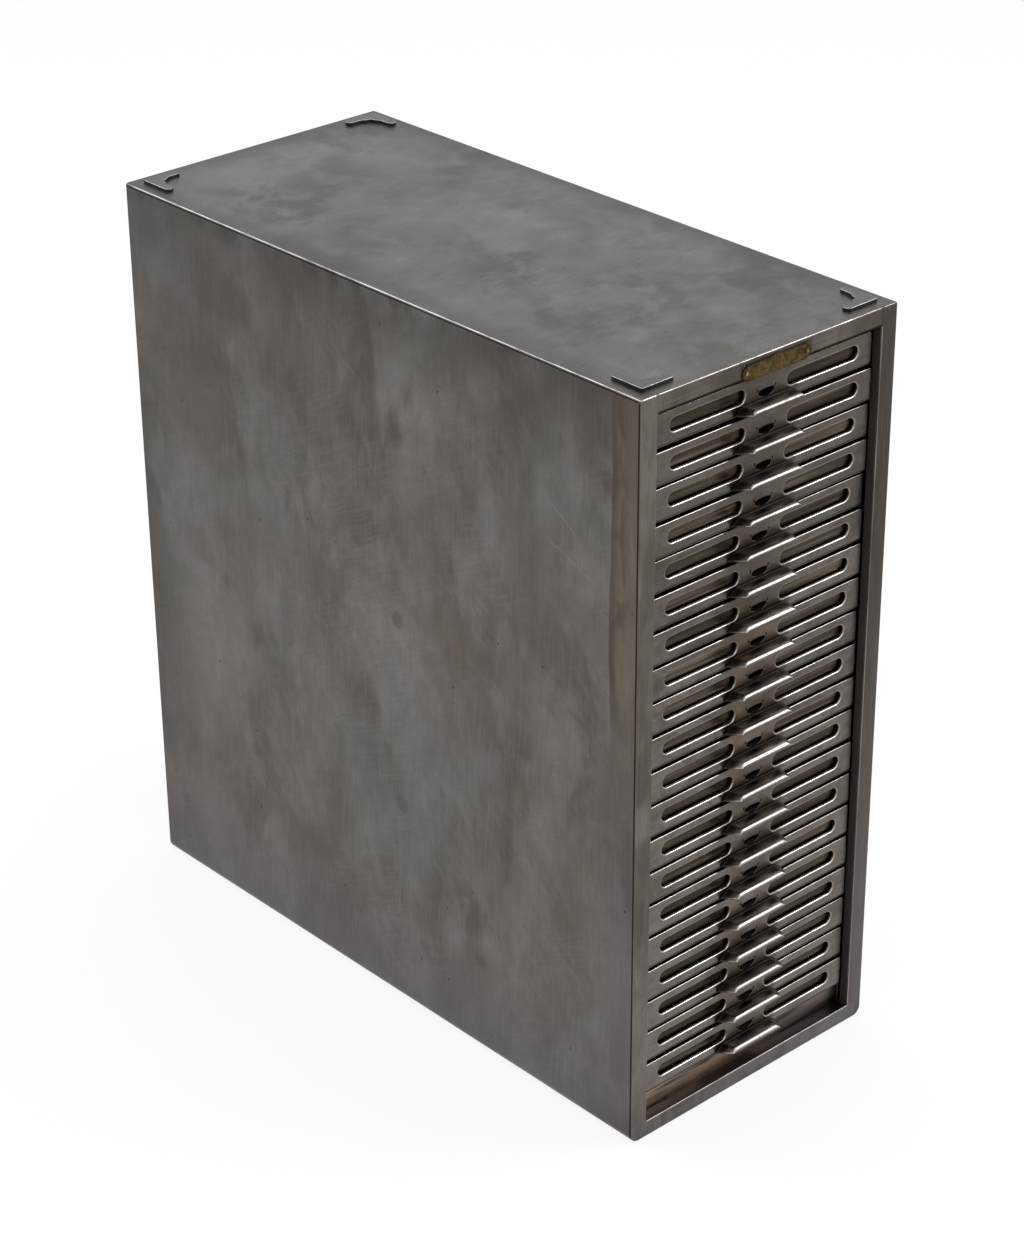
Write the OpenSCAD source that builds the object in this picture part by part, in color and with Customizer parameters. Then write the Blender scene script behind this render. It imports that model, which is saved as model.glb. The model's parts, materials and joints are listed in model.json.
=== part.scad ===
// Steel card-drawer cabinet: a column of shallow drawers in a bent-sheet case.
// Millimetres. X right, Y back, Z up. Origin: centre of the underside of the case.

/* [Case] */
// Outside width of the case
case_width = 267; // [240:1:320]
// Outside depth of the case, from the front frame to the rear rim
case_depth = 605; // [595:1:720]
// Thickness of the case sheet
case_sheet = 1.2; // [0.8:0.1:1.6]
// Radius of the two long bottom edges
bottom_edge_r = 8; // [4:0.5:12]
// Radius of the two long top edges
top_edge_r = 2.2; // [1.8:0.1:4]
// Width of each front stile
stile_width = 16.2; // [13:0.1:22]
// Height of the top rail
top_rail_height = 15.6; // [12:0.1:24]
// Height of the bottom rail
bottom_rail_height = 14.8; // [12:0.1:24]
// How far the stiles and the top rail turn back into the case
jamb_depth = 9; // [5:0.5:11]
// Distance from the face of the case back to the kick plate
kick_setback = 12; // [9:0.5:16]
// Height of the kick plate above the bottom rail
kick_height = 18; // [10:0.5:30]
// Depth of the flange along the top of the kick plate
kick_flange = 10; // [5:0.5:16]
// Width of the rim round the back panel
rear_rim_width = 14; // [8:0.5:20]
// Thickness of the back panel
back_sheet = 1; // [0.8:0.1:1.5]

/* [Drawers] */
// Number of drawers, one above the other
drawer_count = 20; // [4:1:20]
// Height of a drawer front
front_height = 26.7; // [26:0.1:34]
// Gap between one drawer front and the next
row_gap = 2.7; // [2:0.1:5]
// Gap between the top drawer front and the top rail
head_gap = 4.2; // [2:0.1:8]
// Gap between a drawer front and the stile beside it
side_gap = 3.9; // [2.5:0.1:5]
// Distance from the face of the case back to a fully closed drawer front
recess = 8.4; // [4:0.1:12]
// Thickness of the drawer front
front_sheet = 1.2; // [0.8:0.1:1.5]
// Depth of the flange round the back of a drawer front
front_flange = 6; // [5:0.5:9]
// Space for a label between the front and the tray behind it
label_gap = 2.8; // [1.5:0.1:3.5]
// Length that a drawer slides out before its lugs meet the stops
drawer_travel = 500; // [300:5:530]

/* [Label windows] */
// Length of a label window, ends included
window_length = 76.6; // [50:0.1:80]
// Height of a label window
window_height = 11.2; // [8:0.1:14]
// Distance from the top of the front down to a window
window_top = 6.8; // [4:0.1:9]
// Distance from the middle of the front to the nearer end of a window
window_inset = 22.1; // [18:0.1:27]
// Depth of the flange turned in round a window
window_rim = 1; // [0.5:0.1:1.4]

/* [Catch hole] */
// Width of the hole above the pull
catch_width = 16.4; // [10:0.1:22]
// Distance from the top of the front down to the upper corners of the hole
catch_drop = 13.1; // [12:0.1:15]
// Height of the straight sides of the hole
catch_side = 3; // [1:0.1:4]
// Rise of the upper edge of the hole above its corners
catch_rise = 1; // [0.5:0.1:2]
// Fall of the lower edge of the hole below its corners
catch_fall = 2.6; // [1:0.1:3]
// Length of the relief slit beside each upper corner of the hole
slit_length = 3; // [2:0.1:4]
// Width of a relief slit
slit_width = 1.2; // [0.8:0.1:1.6]

/* [Pull] */
// How far the lip of the pull stands out from the drawer front
pull_reach = 13.3; // [9:0.1:18]
// Width of the lip
pull_lip_width = 53; // [40:0.1:58]
// Width of the level top of the pull where it starts to roll down
pull_top_width = 48; // [38:0.1:49]
// Width of the root of the pull at its top
pull_root_top = 50; // [40:0.1:54]
// Width of the root of the pull at its bottom
pull_root_bottom = 67; // [60:0.1:72]
// Height of the top of the root above the bottom of the front
pull_root_height = 5.8; // [5.4:0.1:6.4]
// Height of the lower edge of the lip above the bottom of the front
pull_lip_height = 3.7; // [3.2:0.1:4]
// Radius of the rolled lip
pull_lip_r = 2.9; // [2.4:0.1:3.2]

/* [Tray] */
// Length of a tray
tray_length = 565; // [545:1:580]
// Thickness of the tray sheet
tray_sheet = 0.9; // [0.7:0.1:1.2]
// Height of the tray walls
tray_height = 20; // [16:0.5:20.5]
// Width of the flange that rides in a runner
tray_flange = 4.3; // [3:0.1:5]
// Length of the stop lug on a tray flange
lug_length = 8; // [5:0.5:12]

/* [Runners and posts] */
// Thickness of the runner and post sheet
runner_sheet = 1.2; // [0.8:0.1:1.3]
// Height of the opening of a runner
runner_opening = 4; // [3.6:0.1:4.2]
// Clearance between a tray flange and the leg that it rides on
runner_clear = 0.3; // [0.2:0.05:0.5]
// Clearance between the side of a tray and the ends of the runner legs
runner_side_clear = 1; // [0.5:0.1:1.5]
// Width of the web of a post
post_web = 22; // [14:1:30]
// Width of each post flange, welded to the side of the case
post_flange = 12; // [8:1:16]
// Distances from the face of the case back to the three posts
post_places = [160, 288.5, 480.5];

/* [Top corner plates] */
// Distance from the edges of the case to a corner plate
corner_inset = 10.5; // [4:0.5:20]
// Length of each arm of a corner plate
corner_arm = 33; // [26:0.5:45]
// Width of an arm at its rounded end
corner_end_width = 8; // [6:0.5:10]
// Width of an arm next to the inner corner
corner_root_width = 11; // [10.5:0.5:14]
// Thickness of a corner plate
corner_thick = 2.8; // [1.5:0.1:4]

/* [Nameplate] */
// Length of the nameplate
nameplate_length = 72.6; // [50:0.1:90]
// Height of the nameplate
nameplate_height = 13; // [10:0.1:15]
// Thickness of the nameplate
nameplate_thick = 0.8; // [0.5:0.1:1.2]
// Distance of the nameplate to the right of the middle
nameplate_shift = 2.8; // [0:0.1:10]
// How far the nameplate hangs below the top rail
nameplate_hang = 1.6; // [0:0.1:2]
// Distance from each end of the nameplate to its pin
pin_inset = 4.8; // [3.5:0.1:8]
// Radius of a pin's head
pin_head_r = 1.8; // [1.4:0.1:2.2]
// Radius of a pin's shank
pin_shank_r = 0.9; // [0.6:0.05:1.1]

/* [Hidden] */
$fn = 64;
overlap = 1;           // how far cutting shapes run past what they cut
slip = 0.3;            // running clearance at the stops
pin_hole_clear = 0.05; // clearance round a pin's shank
// Places where the drawers stand at rest, forward of fully closed, top drawer first
rest_forward = [2, 3, 1.6, 2, 0, 1, 1.5, 1.4, 0.6, 1, 1.3, 1, 1.9, 1.8, 1.8, 1.9, 2.1, 1.6, 1, 1.9];

face_y = -case_depth / 2;
rear_y = case_depth / 2;
closed_y = face_y + recess;
opening_half = case_width / 2 - stile_width;
pitch = front_height + row_gap;
lowest_front = bottom_rail_height + kick_height + row_gap;
stack_top = lowest_front + (drawer_count - 1) * pitch + front_height;
opening_top = stack_top + head_gap;
case_height = opening_top + top_rail_height;
seam_z = case_height - top_edge_r;
inner_half = case_width / 2 - case_sheet;

front_half = opening_half - side_gap;
tray_half = front_half - front_sheet;
tray_y = front_sheet + label_gap;
flange_z = front_sheet + tray_height;
flange_half = tray_half + tray_flange;

runner_leg_half = tray_half + runner_side_clear;
runner_web_half = flange_half + 2 * slip;
runner_front = closed_y + front_flange + 2 * slip;
runner_rear = closed_y + tray_y + tray_length + slip + runner_sheet;
runner_floor_z = flange_z - runner_clear;
stop_depth = (runner_opening - tray_sheet - runner_clear) * 0.6;
lug_y = runner_front + runner_sheet + slip + drawer_travel - closed_y;

function two(i) = str(i < 10 ? "0" : "", i);
function front_name(i) = str("drawer_", two(i), "_front");
function tray_name(i) = str("drawer_", two(i), "_tray");
function drawer_z(i) = lowest_front + (drawer_count - i) * pitch;
function arc_r(half, rise) = (half * half + rise * rise) / (2 * rise);

// Extrudes a shape drawn in X and Z from y0 back to y1
module along_y(y0, y1) {
    translate([0, y1, 0]) rotate([90, 0, 0]) linear_extrude(y1 - y0) children();
}

// A box between two corners
module box(low, high) {
    translate(low) cube(high - low);
}

module mirrored_x() {
    children();
    mirror([1, 0, 0]) children();
}

// Outline of the case seen from the front, shrunk by inset
module case_outline(inset) {
    half = case_width / 2 - inset;
    top_r = top_edge_r - inset;
    bottom_r = bottom_edge_r - inset;
    translate([-half, bottom_edge_r]) square([2 * half, seam_z - bottom_edge_r]);
    translate([-half + bottom_r, inset]) square([2 * (half - bottom_r), bottom_r + overlap]);
    translate([-half + top_r, seam_z - overlap]) square([2 * (half - top_r), top_r + overlap]);
    for (side = [-1, 1]) {
        translate([side * (half - bottom_r), bottom_edge_r]) circle(bottom_r);
        translate([side * (half - top_r), seam_z]) circle(top_r);
    }
}

module case_ring() {
    difference() {
        case_outline(0);
        case_outline(case_sheet);
    }
}

// The part of the front or rear frame that is folded down from the top panel
module top_flap_outline(half, low) {
    translate([-half, low]) square([2 * half, seam_z + overlap - low]);
}

module rear_opening() {
    half = case_width / 2 - rear_rim_width;
    translate([-half, rear_rim_width]) square([2 * half, case_height - 2 * rear_rim_width]);
}

// Sides and bottom of the case in one sheet, with the stiles, their jambs and the rear rim
module case_wrapper() {
    rim_half = case_width / 2 - rear_rim_width;
    color("#5d5955") difference() {
        union() {
            along_y(face_y, rear_y) case_ring();
            along_y(face_y, face_y + case_sheet) difference() {
                case_outline(0);
                translate([-opening_half, -overlap]) square([2 * opening_half, case_height]);
            }
            along_y(rear_y - case_sheet, rear_y) difference() {
                case_outline(0);
                rear_opening();
            }
            mirrored_x() box(
                [opening_half, face_y, bottom_rail_height],
                [opening_half + case_sheet, face_y + jamb_depth, opening_top]
            );
        }
        box([-case_width, face_y - overlap, seam_z], [case_width, rear_y + overlap, case_height + overlap]);
        box(
            [-opening_half, face_y - overlap, -overlap],
            [opening_half, face_y + case_sheet, bottom_rail_height]
        );
        along_y(rear_y - case_sheet, rear_y + overlap)
            top_flap_outline(rim_half, case_height - rear_rim_width);
    }
}

// Top of the case, folded down at the front into the top rail and at the back into the rim
module top_panel() {
    rim_half = case_width / 2 - rear_rim_width;
    color("#74726f") union() {
        difference() {
            union() {
                along_y(face_y, rear_y) case_ring();
                along_y(face_y, face_y + case_sheet) case_outline(0);
                along_y(rear_y - case_sheet, rear_y) case_outline(0);
            }
            box([-case_width, face_y - overlap, -overlap], [case_width, rear_y + overlap, seam_z]);
        }
        difference() {
            union() {
                box([-opening_half, face_y, opening_top], [opening_half, face_y + case_sheet, seam_z]);
                box(
                    [-opening_half, face_y, opening_top],
                    [opening_half, face_y + jamb_depth, opening_top + case_sheet]
                );
            }
            nameplate_pin_places() rotate([90, 0, 0])
                cylinder(r = pin_shank_r + pin_hole_clear, h = 4 * case_sheet, center = true);
        }
        box(
            [-rim_half, rear_y - case_sheet, case_height - rear_rim_width],
            [rim_half, rear_y, seam_z]
        );
    }
}

module back_panel() {
    color("#65625e") along_y(rear_y - case_sheet - back_sheet, rear_y - case_sheet)
        case_outline(case_sheet);
}

// Strip across the front below the drawers, folded back as far as the kick plate
module bottom_rail() {
    color("#5b565c") union() {
        box([-opening_half, face_y, 0], [opening_half, face_y + case_sheet, bottom_rail_height]);
        box(
            [-opening_half, face_y, bottom_rail_height - case_sheet],
            [opening_half, face_y + kick_setback, bottom_rail_height]
        );
    }
}

module kick_plate() {
    half = case_width / 2 - bottom_edge_r;
    front = face_y + kick_setback;
    top = bottom_rail_height + kick_height;
    color("#54483c") union() {
        box([-half, front, case_sheet], [half, front + case_sheet, top]);
        box([-half, front, top - case_sheet], [half, front + kick_flange, top]);
    }
}

// Hat-section upright on the right, seen from above; the runners are welded to its web
module post(place) {
    web = post_web / 2;
    side = inner_half;
    inner = runner_web_half + runner_sheet;
    color("#5a5650") translate([0, face_y + place, bottom_edge_r + runner_sheet])
        linear_extrude(seam_z - bottom_edge_r - 2 * runner_sheet - top_edge_r) polygon([
            [side, -web - post_flange], [side, -web + runner_sheet], [inner + runner_sheet, -web + runner_sheet],
            [inner + runner_sheet, web - runner_sheet], [side, web - runner_sheet], [side, web + post_flange],
            [side - runner_sheet, web + post_flange], [side - runner_sheet, web], [inner, web],
            [inner, -web], [side - runner_sheet, -web], [side - runner_sheet, -web - post_flange]
        ]);
}

// One C-section runner on the right, with a stop folded down at its front and one across its rear
module runner(z) {
    floor_z = z + runner_floor_z;
    roof_z = floor_z + runner_opening;
    outer = runner_web_half + runner_sheet;
    union() {
        along_y(runner_front, runner_rear) polygon([
            [runner_leg_half, floor_z - runner_sheet], [outer, floor_z - runner_sheet],
            [outer, roof_z + runner_sheet], [runner_leg_half, roof_z + runner_sheet],
            [runner_leg_half, roof_z], [runner_web_half, roof_z],
            [runner_web_half, floor_z], [runner_leg_half, floor_z]
        ]);
        box(
            [runner_leg_half, runner_front, roof_z - stop_depth],
            [runner_web_half + overlap / 2, runner_front + runner_sheet, roof_z + runner_sheet]
        );
        box(
            [runner_leg_half, runner_rear - runner_sheet, floor_z - runner_sheet],
            [runner_web_half + overlap / 2, runner_rear, roof_z + runner_sheet]
        );
    }
}

module runners() {
    color("#57534d") for (i = [1:drawer_count]) runner(drawer_z(i));
}

// L-shaped plate with rounded arms and a hollowed inner corner, its outer corner at 0, 0
module corner_outline() {
    end_r = corner_end_width / 2;
    arm = corner_arm - end_r;
    outer_r = end_r / 2;
    bevel = corner_root_width + end_r;
    hollow_r = end_r * 1.2;
    difference() {
        union() {
            polygon([
                [0, outer_r], [outer_r, 0], [arm, 0], [arm, corner_end_width], [bevel, corner_root_width],
                [corner_root_width, bevel], [corner_end_width, arm], [0, arm]
            ]);
            translate([outer_r, outer_r]) circle(outer_r);
            translate([arm, end_r]) circle(end_r);
            translate([end_r, arm]) circle(end_r);
        }
        translate([bevel, bevel]) circle(hollow_r);
    }
}

module corner_plate(side, end) {
    color("#6c6965")
        translate([side * (case_width / 2 - corner_inset), end * (case_depth / 2 - corner_inset), case_height])
        mirror([side > 0 ? 1 : 0, 0, 0]) mirror([0, end > 0 ? 1 : 0, 0])
        linear_extrude(corner_thick) corner_outline();
}

module nameplate_pin_places() {
    for (side = [-1, 1])
        translate([
            nameplate_shift + side * (nameplate_length / 2 - pin_inset), face_y,
            opening_top - nameplate_hang + nameplate_height / 2
        ]) children();
}

// Bare plate with round lugs at its ends and a low arch on its top edge
module nameplate() {
    end_r = nameplate_height / 2;
    body_half = nameplate_length / 2 - pin_inset;
    lug_r = min(end_r, pin_inset);
    arch_half = nameplate_height / 2;
    arch_rise = 1.2;
    arch_r = arc_r(arch_half, arch_rise);
    color("#8a6d34") translate([0, face_y, opening_top - nameplate_hang]) difference() {
        translate([nameplate_shift, 0, 0]) along_y(-nameplate_thick, 0) union() {
            translate([-body_half, 0]) square([2 * body_half, nameplate_height]);
            for (side = [-1, 1]) translate([side * body_half, end_r]) circle(lug_r);
            intersection() {
                translate([0, nameplate_height + arch_rise - arch_r]) circle(arch_r);
                translate([-arch_half, end_r]) square([nameplate_height, nameplate_height]);
            }
        }
        translate([0, -face_y, nameplate_hang - opening_top]) nameplate_pin_places() rotate([90, 0, 0])
            cylinder(r = pin_shank_r + pin_hole_clear, h = 4 * nameplate_thick, center = true);
    }
}

module nameplate_pins() {
    head_height = pin_head_r / 2;
    head_ball_r = arc_r(pin_head_r, head_height);
    color("#b59a5b") nameplate_pin_places() rotate([90, 0, 0]) translate([0, 0, nameplate_thick]) union() {
        intersection() {
            translate([0, 0, head_height - head_ball_r]) sphere(head_ball_r);
            cylinder(r = pin_head_r, h = head_height);
        }
        translate([0, 0, -nameplate_thick - case_sheet])
            cylinder(r = pin_shank_r, h = nameplate_thick + case_sheet + head_height / 2);
    }
}

// Opening of the label windows in a front, seen from the front, grown by extra
module windows(extra) {
    end_r = window_height / 2;
    z = front_height - window_top - end_r;
    for (side = [-1, 1])
        translate([side * (window_inset + window_length / 2), z]) {
            square([window_length - window_height, window_height + 2 * extra], center = true);
            for (end = [-1, 1]) translate([end * (window_length / 2 - end_r), 0]) circle(end_r + extra);
        }
}

// Hole with straight sides between two arcs, with a relief slit beside each upper corner
module catch_hole() {
    half = catch_width / 2;
    upper_r = arc_r(half, catch_rise);
    lower_r = arc_r(half, catch_fall);
    slit_lean = 12;
    translate([0, front_height - catch_drop]) {
        intersection() {
            translate([0, catch_rise - upper_r]) circle(upper_r);
            translate([0, lower_r - catch_fall - catch_side]) circle(lower_r);
            square([catch_width, 2 * (catch_side + catch_fall)], center = true);
        }
        for (side = [-1, 1])
            translate([side * (half + slit_width), slit_length / 4]) rotate(-side * slit_lean)
                square([slit_width, slit_length], center = true);
    }
}

// Removes from its children what lies beyond the plane through three points, moved in by inset
module cut_beyond(p, q, r, inset) {
    normal = cross(q - p, r - p) / norm(cross(q - p, r - p));
    size = 200;
    difference() {
        children();
        translate(p - inset * normal) rotate([0, acos(normal.z), atan2(normal.y, normal.x)])
            translate([-size / 2, -size / 2, 0]) cube(size);
    }
}

// Section of the pull in reach and height: a level top that rolls down into the lip.
// The hollow is the same shape inside the wall, and runs back through the face and down past the lip.
module pull_section(wall, hollow) {
    roll = [pull_reach - pull_lip_r, pull_lip_height];
    root = [0, pull_root_height];
    top_angle = atan2(roll.y - root.y, roll.x) + asin(pull_lip_r / norm(roll - root));
    up = [-sin(top_angle), cos(top_angle)];
    back = hollow ? -front_sheet - overlap : 0;
    low = hollow ? pull_lip_height - overlap : pull_lip_height;
    inner_root = root - wall * up;
    rear_bottom = hollow ? [[back, front_sheet]] : [];
    polygon(concat(rear_bottom, [
        [back, inner_root.y + back * tan(top_angle) - inner_root.x * tan(top_angle)],
        roll + (pull_lip_r - wall) * up, roll, [pull_reach - wall, roll.y],
        [pull_reach - wall, low], [0, front_sheet]
    ]));
    intersection() {
        translate(roll) circle(pull_lip_r - wall);
        translate(roll) rotate(top_angle) square(pull_lip_r);
    }
    intersection() {
        translate(roll) circle(pull_lip_r - wall);
        translate(roll) square(pull_lip_r);
    }
}

// Cuts both ends of its children on the plane through three points, moved in by inset
module cut_ends(p, q, r, inset) {
    flip = function (v) [-v.x, v.y, v.z];
    cut_beyond(p, q, r, inset) cut_beyond(flip(p), flip(r), flip(q), inset) children();
}

// The pull as a wedge that narrows from its root to its lip, each end slanting in two planes
module pull_body(wall, hollow) {
    root_top = [pull_root_top / 2, 0, pull_root_height];
    root_bottom = [pull_root_bottom / 2, 0, front_sheet];
    top = [pull_top_width / 2, pull_lip_r - pull_reach, pull_lip_height + pull_lip_r];
    lip = [pull_lip_width / 2, -pull_reach, pull_lip_height];
    cut_ends(root_top, top, root_bottom, wall) cut_ends(top, lip, root_bottom, wall)
        rotate([90, 0, -90]) linear_extrude(pull_root_bottom, center = true) pull_section(wall, hollow);
}

// Pressed drawer front with its face at y = 0 and its lower edge at z = 0
module front_sheet_metal() {
    difference() {
        union() {
            difference() {
                box([-front_half, 0, 0], [front_half, front_flange, front_height]);
                box(
                    [-front_half + front_sheet, front_sheet, front_sheet],
                    [front_half - front_sheet, front_flange + overlap, front_height - front_sheet]
                );
            }
            along_y(0, front_sheet + window_rim) windows(front_sheet);
            pull_body(0, false);
        }
        along_y(-overlap, front_flange) windows(0);
        along_y(-overlap, front_sheet + overlap) catch_hole();
        pull_body(front_sheet, true);
    }
}

// Folded tray with its front wall behind the label windows, side flanges and stop lugs
module tray() {
    floor_z = front_sheet;
    wall = tray_half - tray_sheet;
    rear = tray_y + tray_length;
    flange_front = front_flange + 2 * slip;
    union() {
        along_y(tray_y, rear) polygon([
            [-tray_half, floor_z], [tray_half, floor_z], [tray_half, flange_z + tray_sheet],
            [wall, flange_z + tray_sheet], [wall, floor_z + tray_sheet],
            [-wall, floor_z + tray_sheet], [-wall, flange_z + tray_sheet], [-tray_half, flange_z + tray_sheet]
        ]);
        box([-tray_half, tray_y, floor_z], [tray_half, tray_y + tray_sheet, front_height - front_sheet]);
        box([-tray_half, rear - tray_sheet, floor_z], [tray_half, rear, flange_z + tray_sheet]);
        mirrored_x() {
            box([wall, flange_front, flange_z], [flange_half, rear, flange_z + tray_sheet]);
            box(
                [tray_half, lug_y, flange_z],
                [flange_half, lug_y + lug_length, runner_floor_z + runner_opening - slip]
            );
        }
    }
}

// Moves a drawer's pieces to where drawer i stands at rest
module place_drawer(i) {
    translate([0, closed_y - rest_forward[i - 1], drawer_z(i)]) children();
}

case_wrapper();
top_panel();
back_panel();
bottom_rail();
kick_plate();
mirror([1, 0, 0]) post(post_places[0]);  // post_left_front
mirror([1, 0, 0]) post(post_places[1]);  // post_left_middle
mirror([1, 0, 0]) post(post_places[2]);  // post_left_rear
post(post_places[0]);  // post_right_front
post(post_places[1]);  // post_right_middle
post(post_places[2]);  // post_right_rear
mirror([1, 0, 0]) runners();  // runners_left
runners();  // runners_right
corner_plate(-1, -1);  // corner_front_left
corner_plate(1, -1);  // corner_front_right
corner_plate(-1, 1);  // corner_rear_left
corner_plate(1, 1);  // corner_rear_right
nameplate();
nameplate_pins();
for (i = [1:drawer_count]) {
    color("#807c77") place_drawer(i) front_sheet_metal();
    color("#5f5a4b") place_drawer(i) tray();
}
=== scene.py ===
"""Dresses a steel card-drawer cabinet: bent sheets, pressed drawer fronts, brass plate, worn metal finishes."""

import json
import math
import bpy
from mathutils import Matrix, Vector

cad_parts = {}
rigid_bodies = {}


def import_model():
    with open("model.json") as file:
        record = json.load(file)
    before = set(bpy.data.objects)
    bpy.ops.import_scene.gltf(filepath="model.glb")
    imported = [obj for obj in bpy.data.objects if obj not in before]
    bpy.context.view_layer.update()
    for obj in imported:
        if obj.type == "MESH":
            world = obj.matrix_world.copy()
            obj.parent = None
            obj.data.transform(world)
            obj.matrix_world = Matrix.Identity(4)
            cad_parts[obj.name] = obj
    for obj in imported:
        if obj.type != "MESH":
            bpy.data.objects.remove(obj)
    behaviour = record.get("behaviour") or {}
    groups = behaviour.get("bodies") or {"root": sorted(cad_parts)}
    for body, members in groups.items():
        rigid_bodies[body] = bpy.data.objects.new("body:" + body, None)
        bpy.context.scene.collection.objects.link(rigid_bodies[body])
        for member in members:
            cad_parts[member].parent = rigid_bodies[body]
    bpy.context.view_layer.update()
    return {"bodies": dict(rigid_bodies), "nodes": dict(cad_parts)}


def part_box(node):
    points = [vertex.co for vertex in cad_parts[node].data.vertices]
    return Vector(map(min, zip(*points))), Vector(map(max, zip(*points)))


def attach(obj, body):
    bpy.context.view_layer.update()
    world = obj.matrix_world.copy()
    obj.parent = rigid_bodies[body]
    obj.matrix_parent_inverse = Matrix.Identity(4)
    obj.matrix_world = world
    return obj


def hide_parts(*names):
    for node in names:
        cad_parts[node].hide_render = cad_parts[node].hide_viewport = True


bl_info = {
    "name": "Card drawer cabinet",
    "version": (1, 0, 0),
    "blender": (4, 5, 0),
    "location": "View3D > Sidebar > Cabinet",
    "description": "Builds the visible sheets, drawer fronts, fittings and finishes of a steel card-drawer cabinet",
    "category": "Object",
}

import bmesh
import bpy
from bpy.props import FloatProperty, FloatVectorProperty, PointerProperty
from mathutils import Matrix, Vector
from mathutils.geometry import delaunay_2d_cdt

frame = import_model()

MM = 0.001
CASE_LOW, CASE_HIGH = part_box("case_wrapper")
HALF_WIDTH = CASE_HIGH.x / MM
FACE_Y = CASE_LOW.y / MM
REAR_Y = CASE_HIGH.y / MM
SEAM_Z = CASE_HIGH.z / MM
CASE_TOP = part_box("top_panel")[1].z / MM
OPENING_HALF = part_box("bottom_rail")[1].x / MM
OPENING_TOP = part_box("top_panel")[0].z / MM
RAIL_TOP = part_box("bottom_rail")[1].z / MM
KICK_LOW, KICK_HIGH = (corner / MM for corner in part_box("kick_plate"))
DRAWERS = sorted(body for body in frame["bodies"] if body.startswith("drawer_"))
FRONT_LOW, FRONT_HIGH = (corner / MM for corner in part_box(DRAWERS[0] + "_front"))
FRONT_HEIGHT = FRONT_HIGH.z - FRONT_LOW.z
# the same in metres, as the finishes read them
SIDE_M, JAMB_M, LINTEL_M, SEAM_M = (v * MM for v in (HALF_WIDTH, OPENING_HALF, OPENING_TOP, SEAM_Z))

# details in millimetres
STRIP = 0.4  # flat strip beside each bend, which keeps its shading tight
HAIR = 0.02  # how much thinner the visible sheets are than the real ones
SIDE_LINES = (480, 330, 180, 60)  # heights of extra lines of points along the sides
RAIL_LINES = (-60, 0, 60)
RUNNER_LINES = (-150, 0, 150)
RAIL_GAP = 0.12  # open seam at each end of the bottom rail
CORNER_R = 1.6  # corners of a drawer front
PULL_WALL, PULL_EDGE = 1.0, 0.25  # sheet of the pull, bevel of its cut edges
PULL_BELLY = 0.9  # how far the pull's ends curve out half way
RUNNER_BEND = 0.5
TRAY_FLANGE = 1.2  # a tray's flange and its clearance
STOP_SHARE = 0.6  # share of the free height that the front stop closes
PIN_SHANK, PIN_WALL = 0.9, 0.12  # radius of a pin's shank, height of its head's upright wall
LUG = 4.8  # radius of the nameplate's round ends
CREST_HALF, CREST_RISE = 6.5, 1.2  # the low crest on the nameplate's upper edge
SLIT_LEAN = 12  # degrees

FLOOR_HALF, FLOOR_Z = 40.0, -0.0005  # metres
# camera: place from the foot of the front left edge in millimetres, direction, and roll in degrees
CAMERA_AT = (-1412.58, -1428.06, 1528.59)
CAMERA_FORWARD = (0.5918421, 0.65532176, -0.46933605)
CAMERA_ROLL = -0.443


# ---------------------------------------------------------------- sizes and colours


def length(name, default, description):
    """A size in millimetres that a user can change."""
    return FloatProperty(name=name, description=description, default=default, min=0.0)


def colour(name, default, description):
    """A linear colour that a user can change."""
    kind = {"size": 3, "min": 0.0, "max": 1.0, "subtype": "COLOR"}
    return FloatVectorProperty(name=name, description=description, default=default, **kind)


def power(name, default, description):
    """A lamp's power in watts that a user can change."""
    return FloatProperty(name=name, description=description, default=default, min=0.0, unit="POWER")


class CaseSizes(bpy.types.PropertyGroup):
    """Sizes of the case, in millimetres."""

    sheet: length("Sheet", 1.2, "Thickness of the case sheet")
    bottom_r: length("Bottom edge radius", 8.0, "Radius of the two long bottom edges")
    top_r: length("Top edge radius", 2.2, "Radius of the two long top edges")
    frame_r: length("Frame edge radius", 1.5, "Outside radius where the sides turn into the front frame")
    jamb_r: length("Jamb radius", 1.0, "Outside radius where the front frame turns back into the case")
    jamb: length("Jamb depth", 9.0, "Depth of the folds round the drawer opening")
    rim: length("Rear rim", 14.0, "Width of the rim round the back panel")


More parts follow.
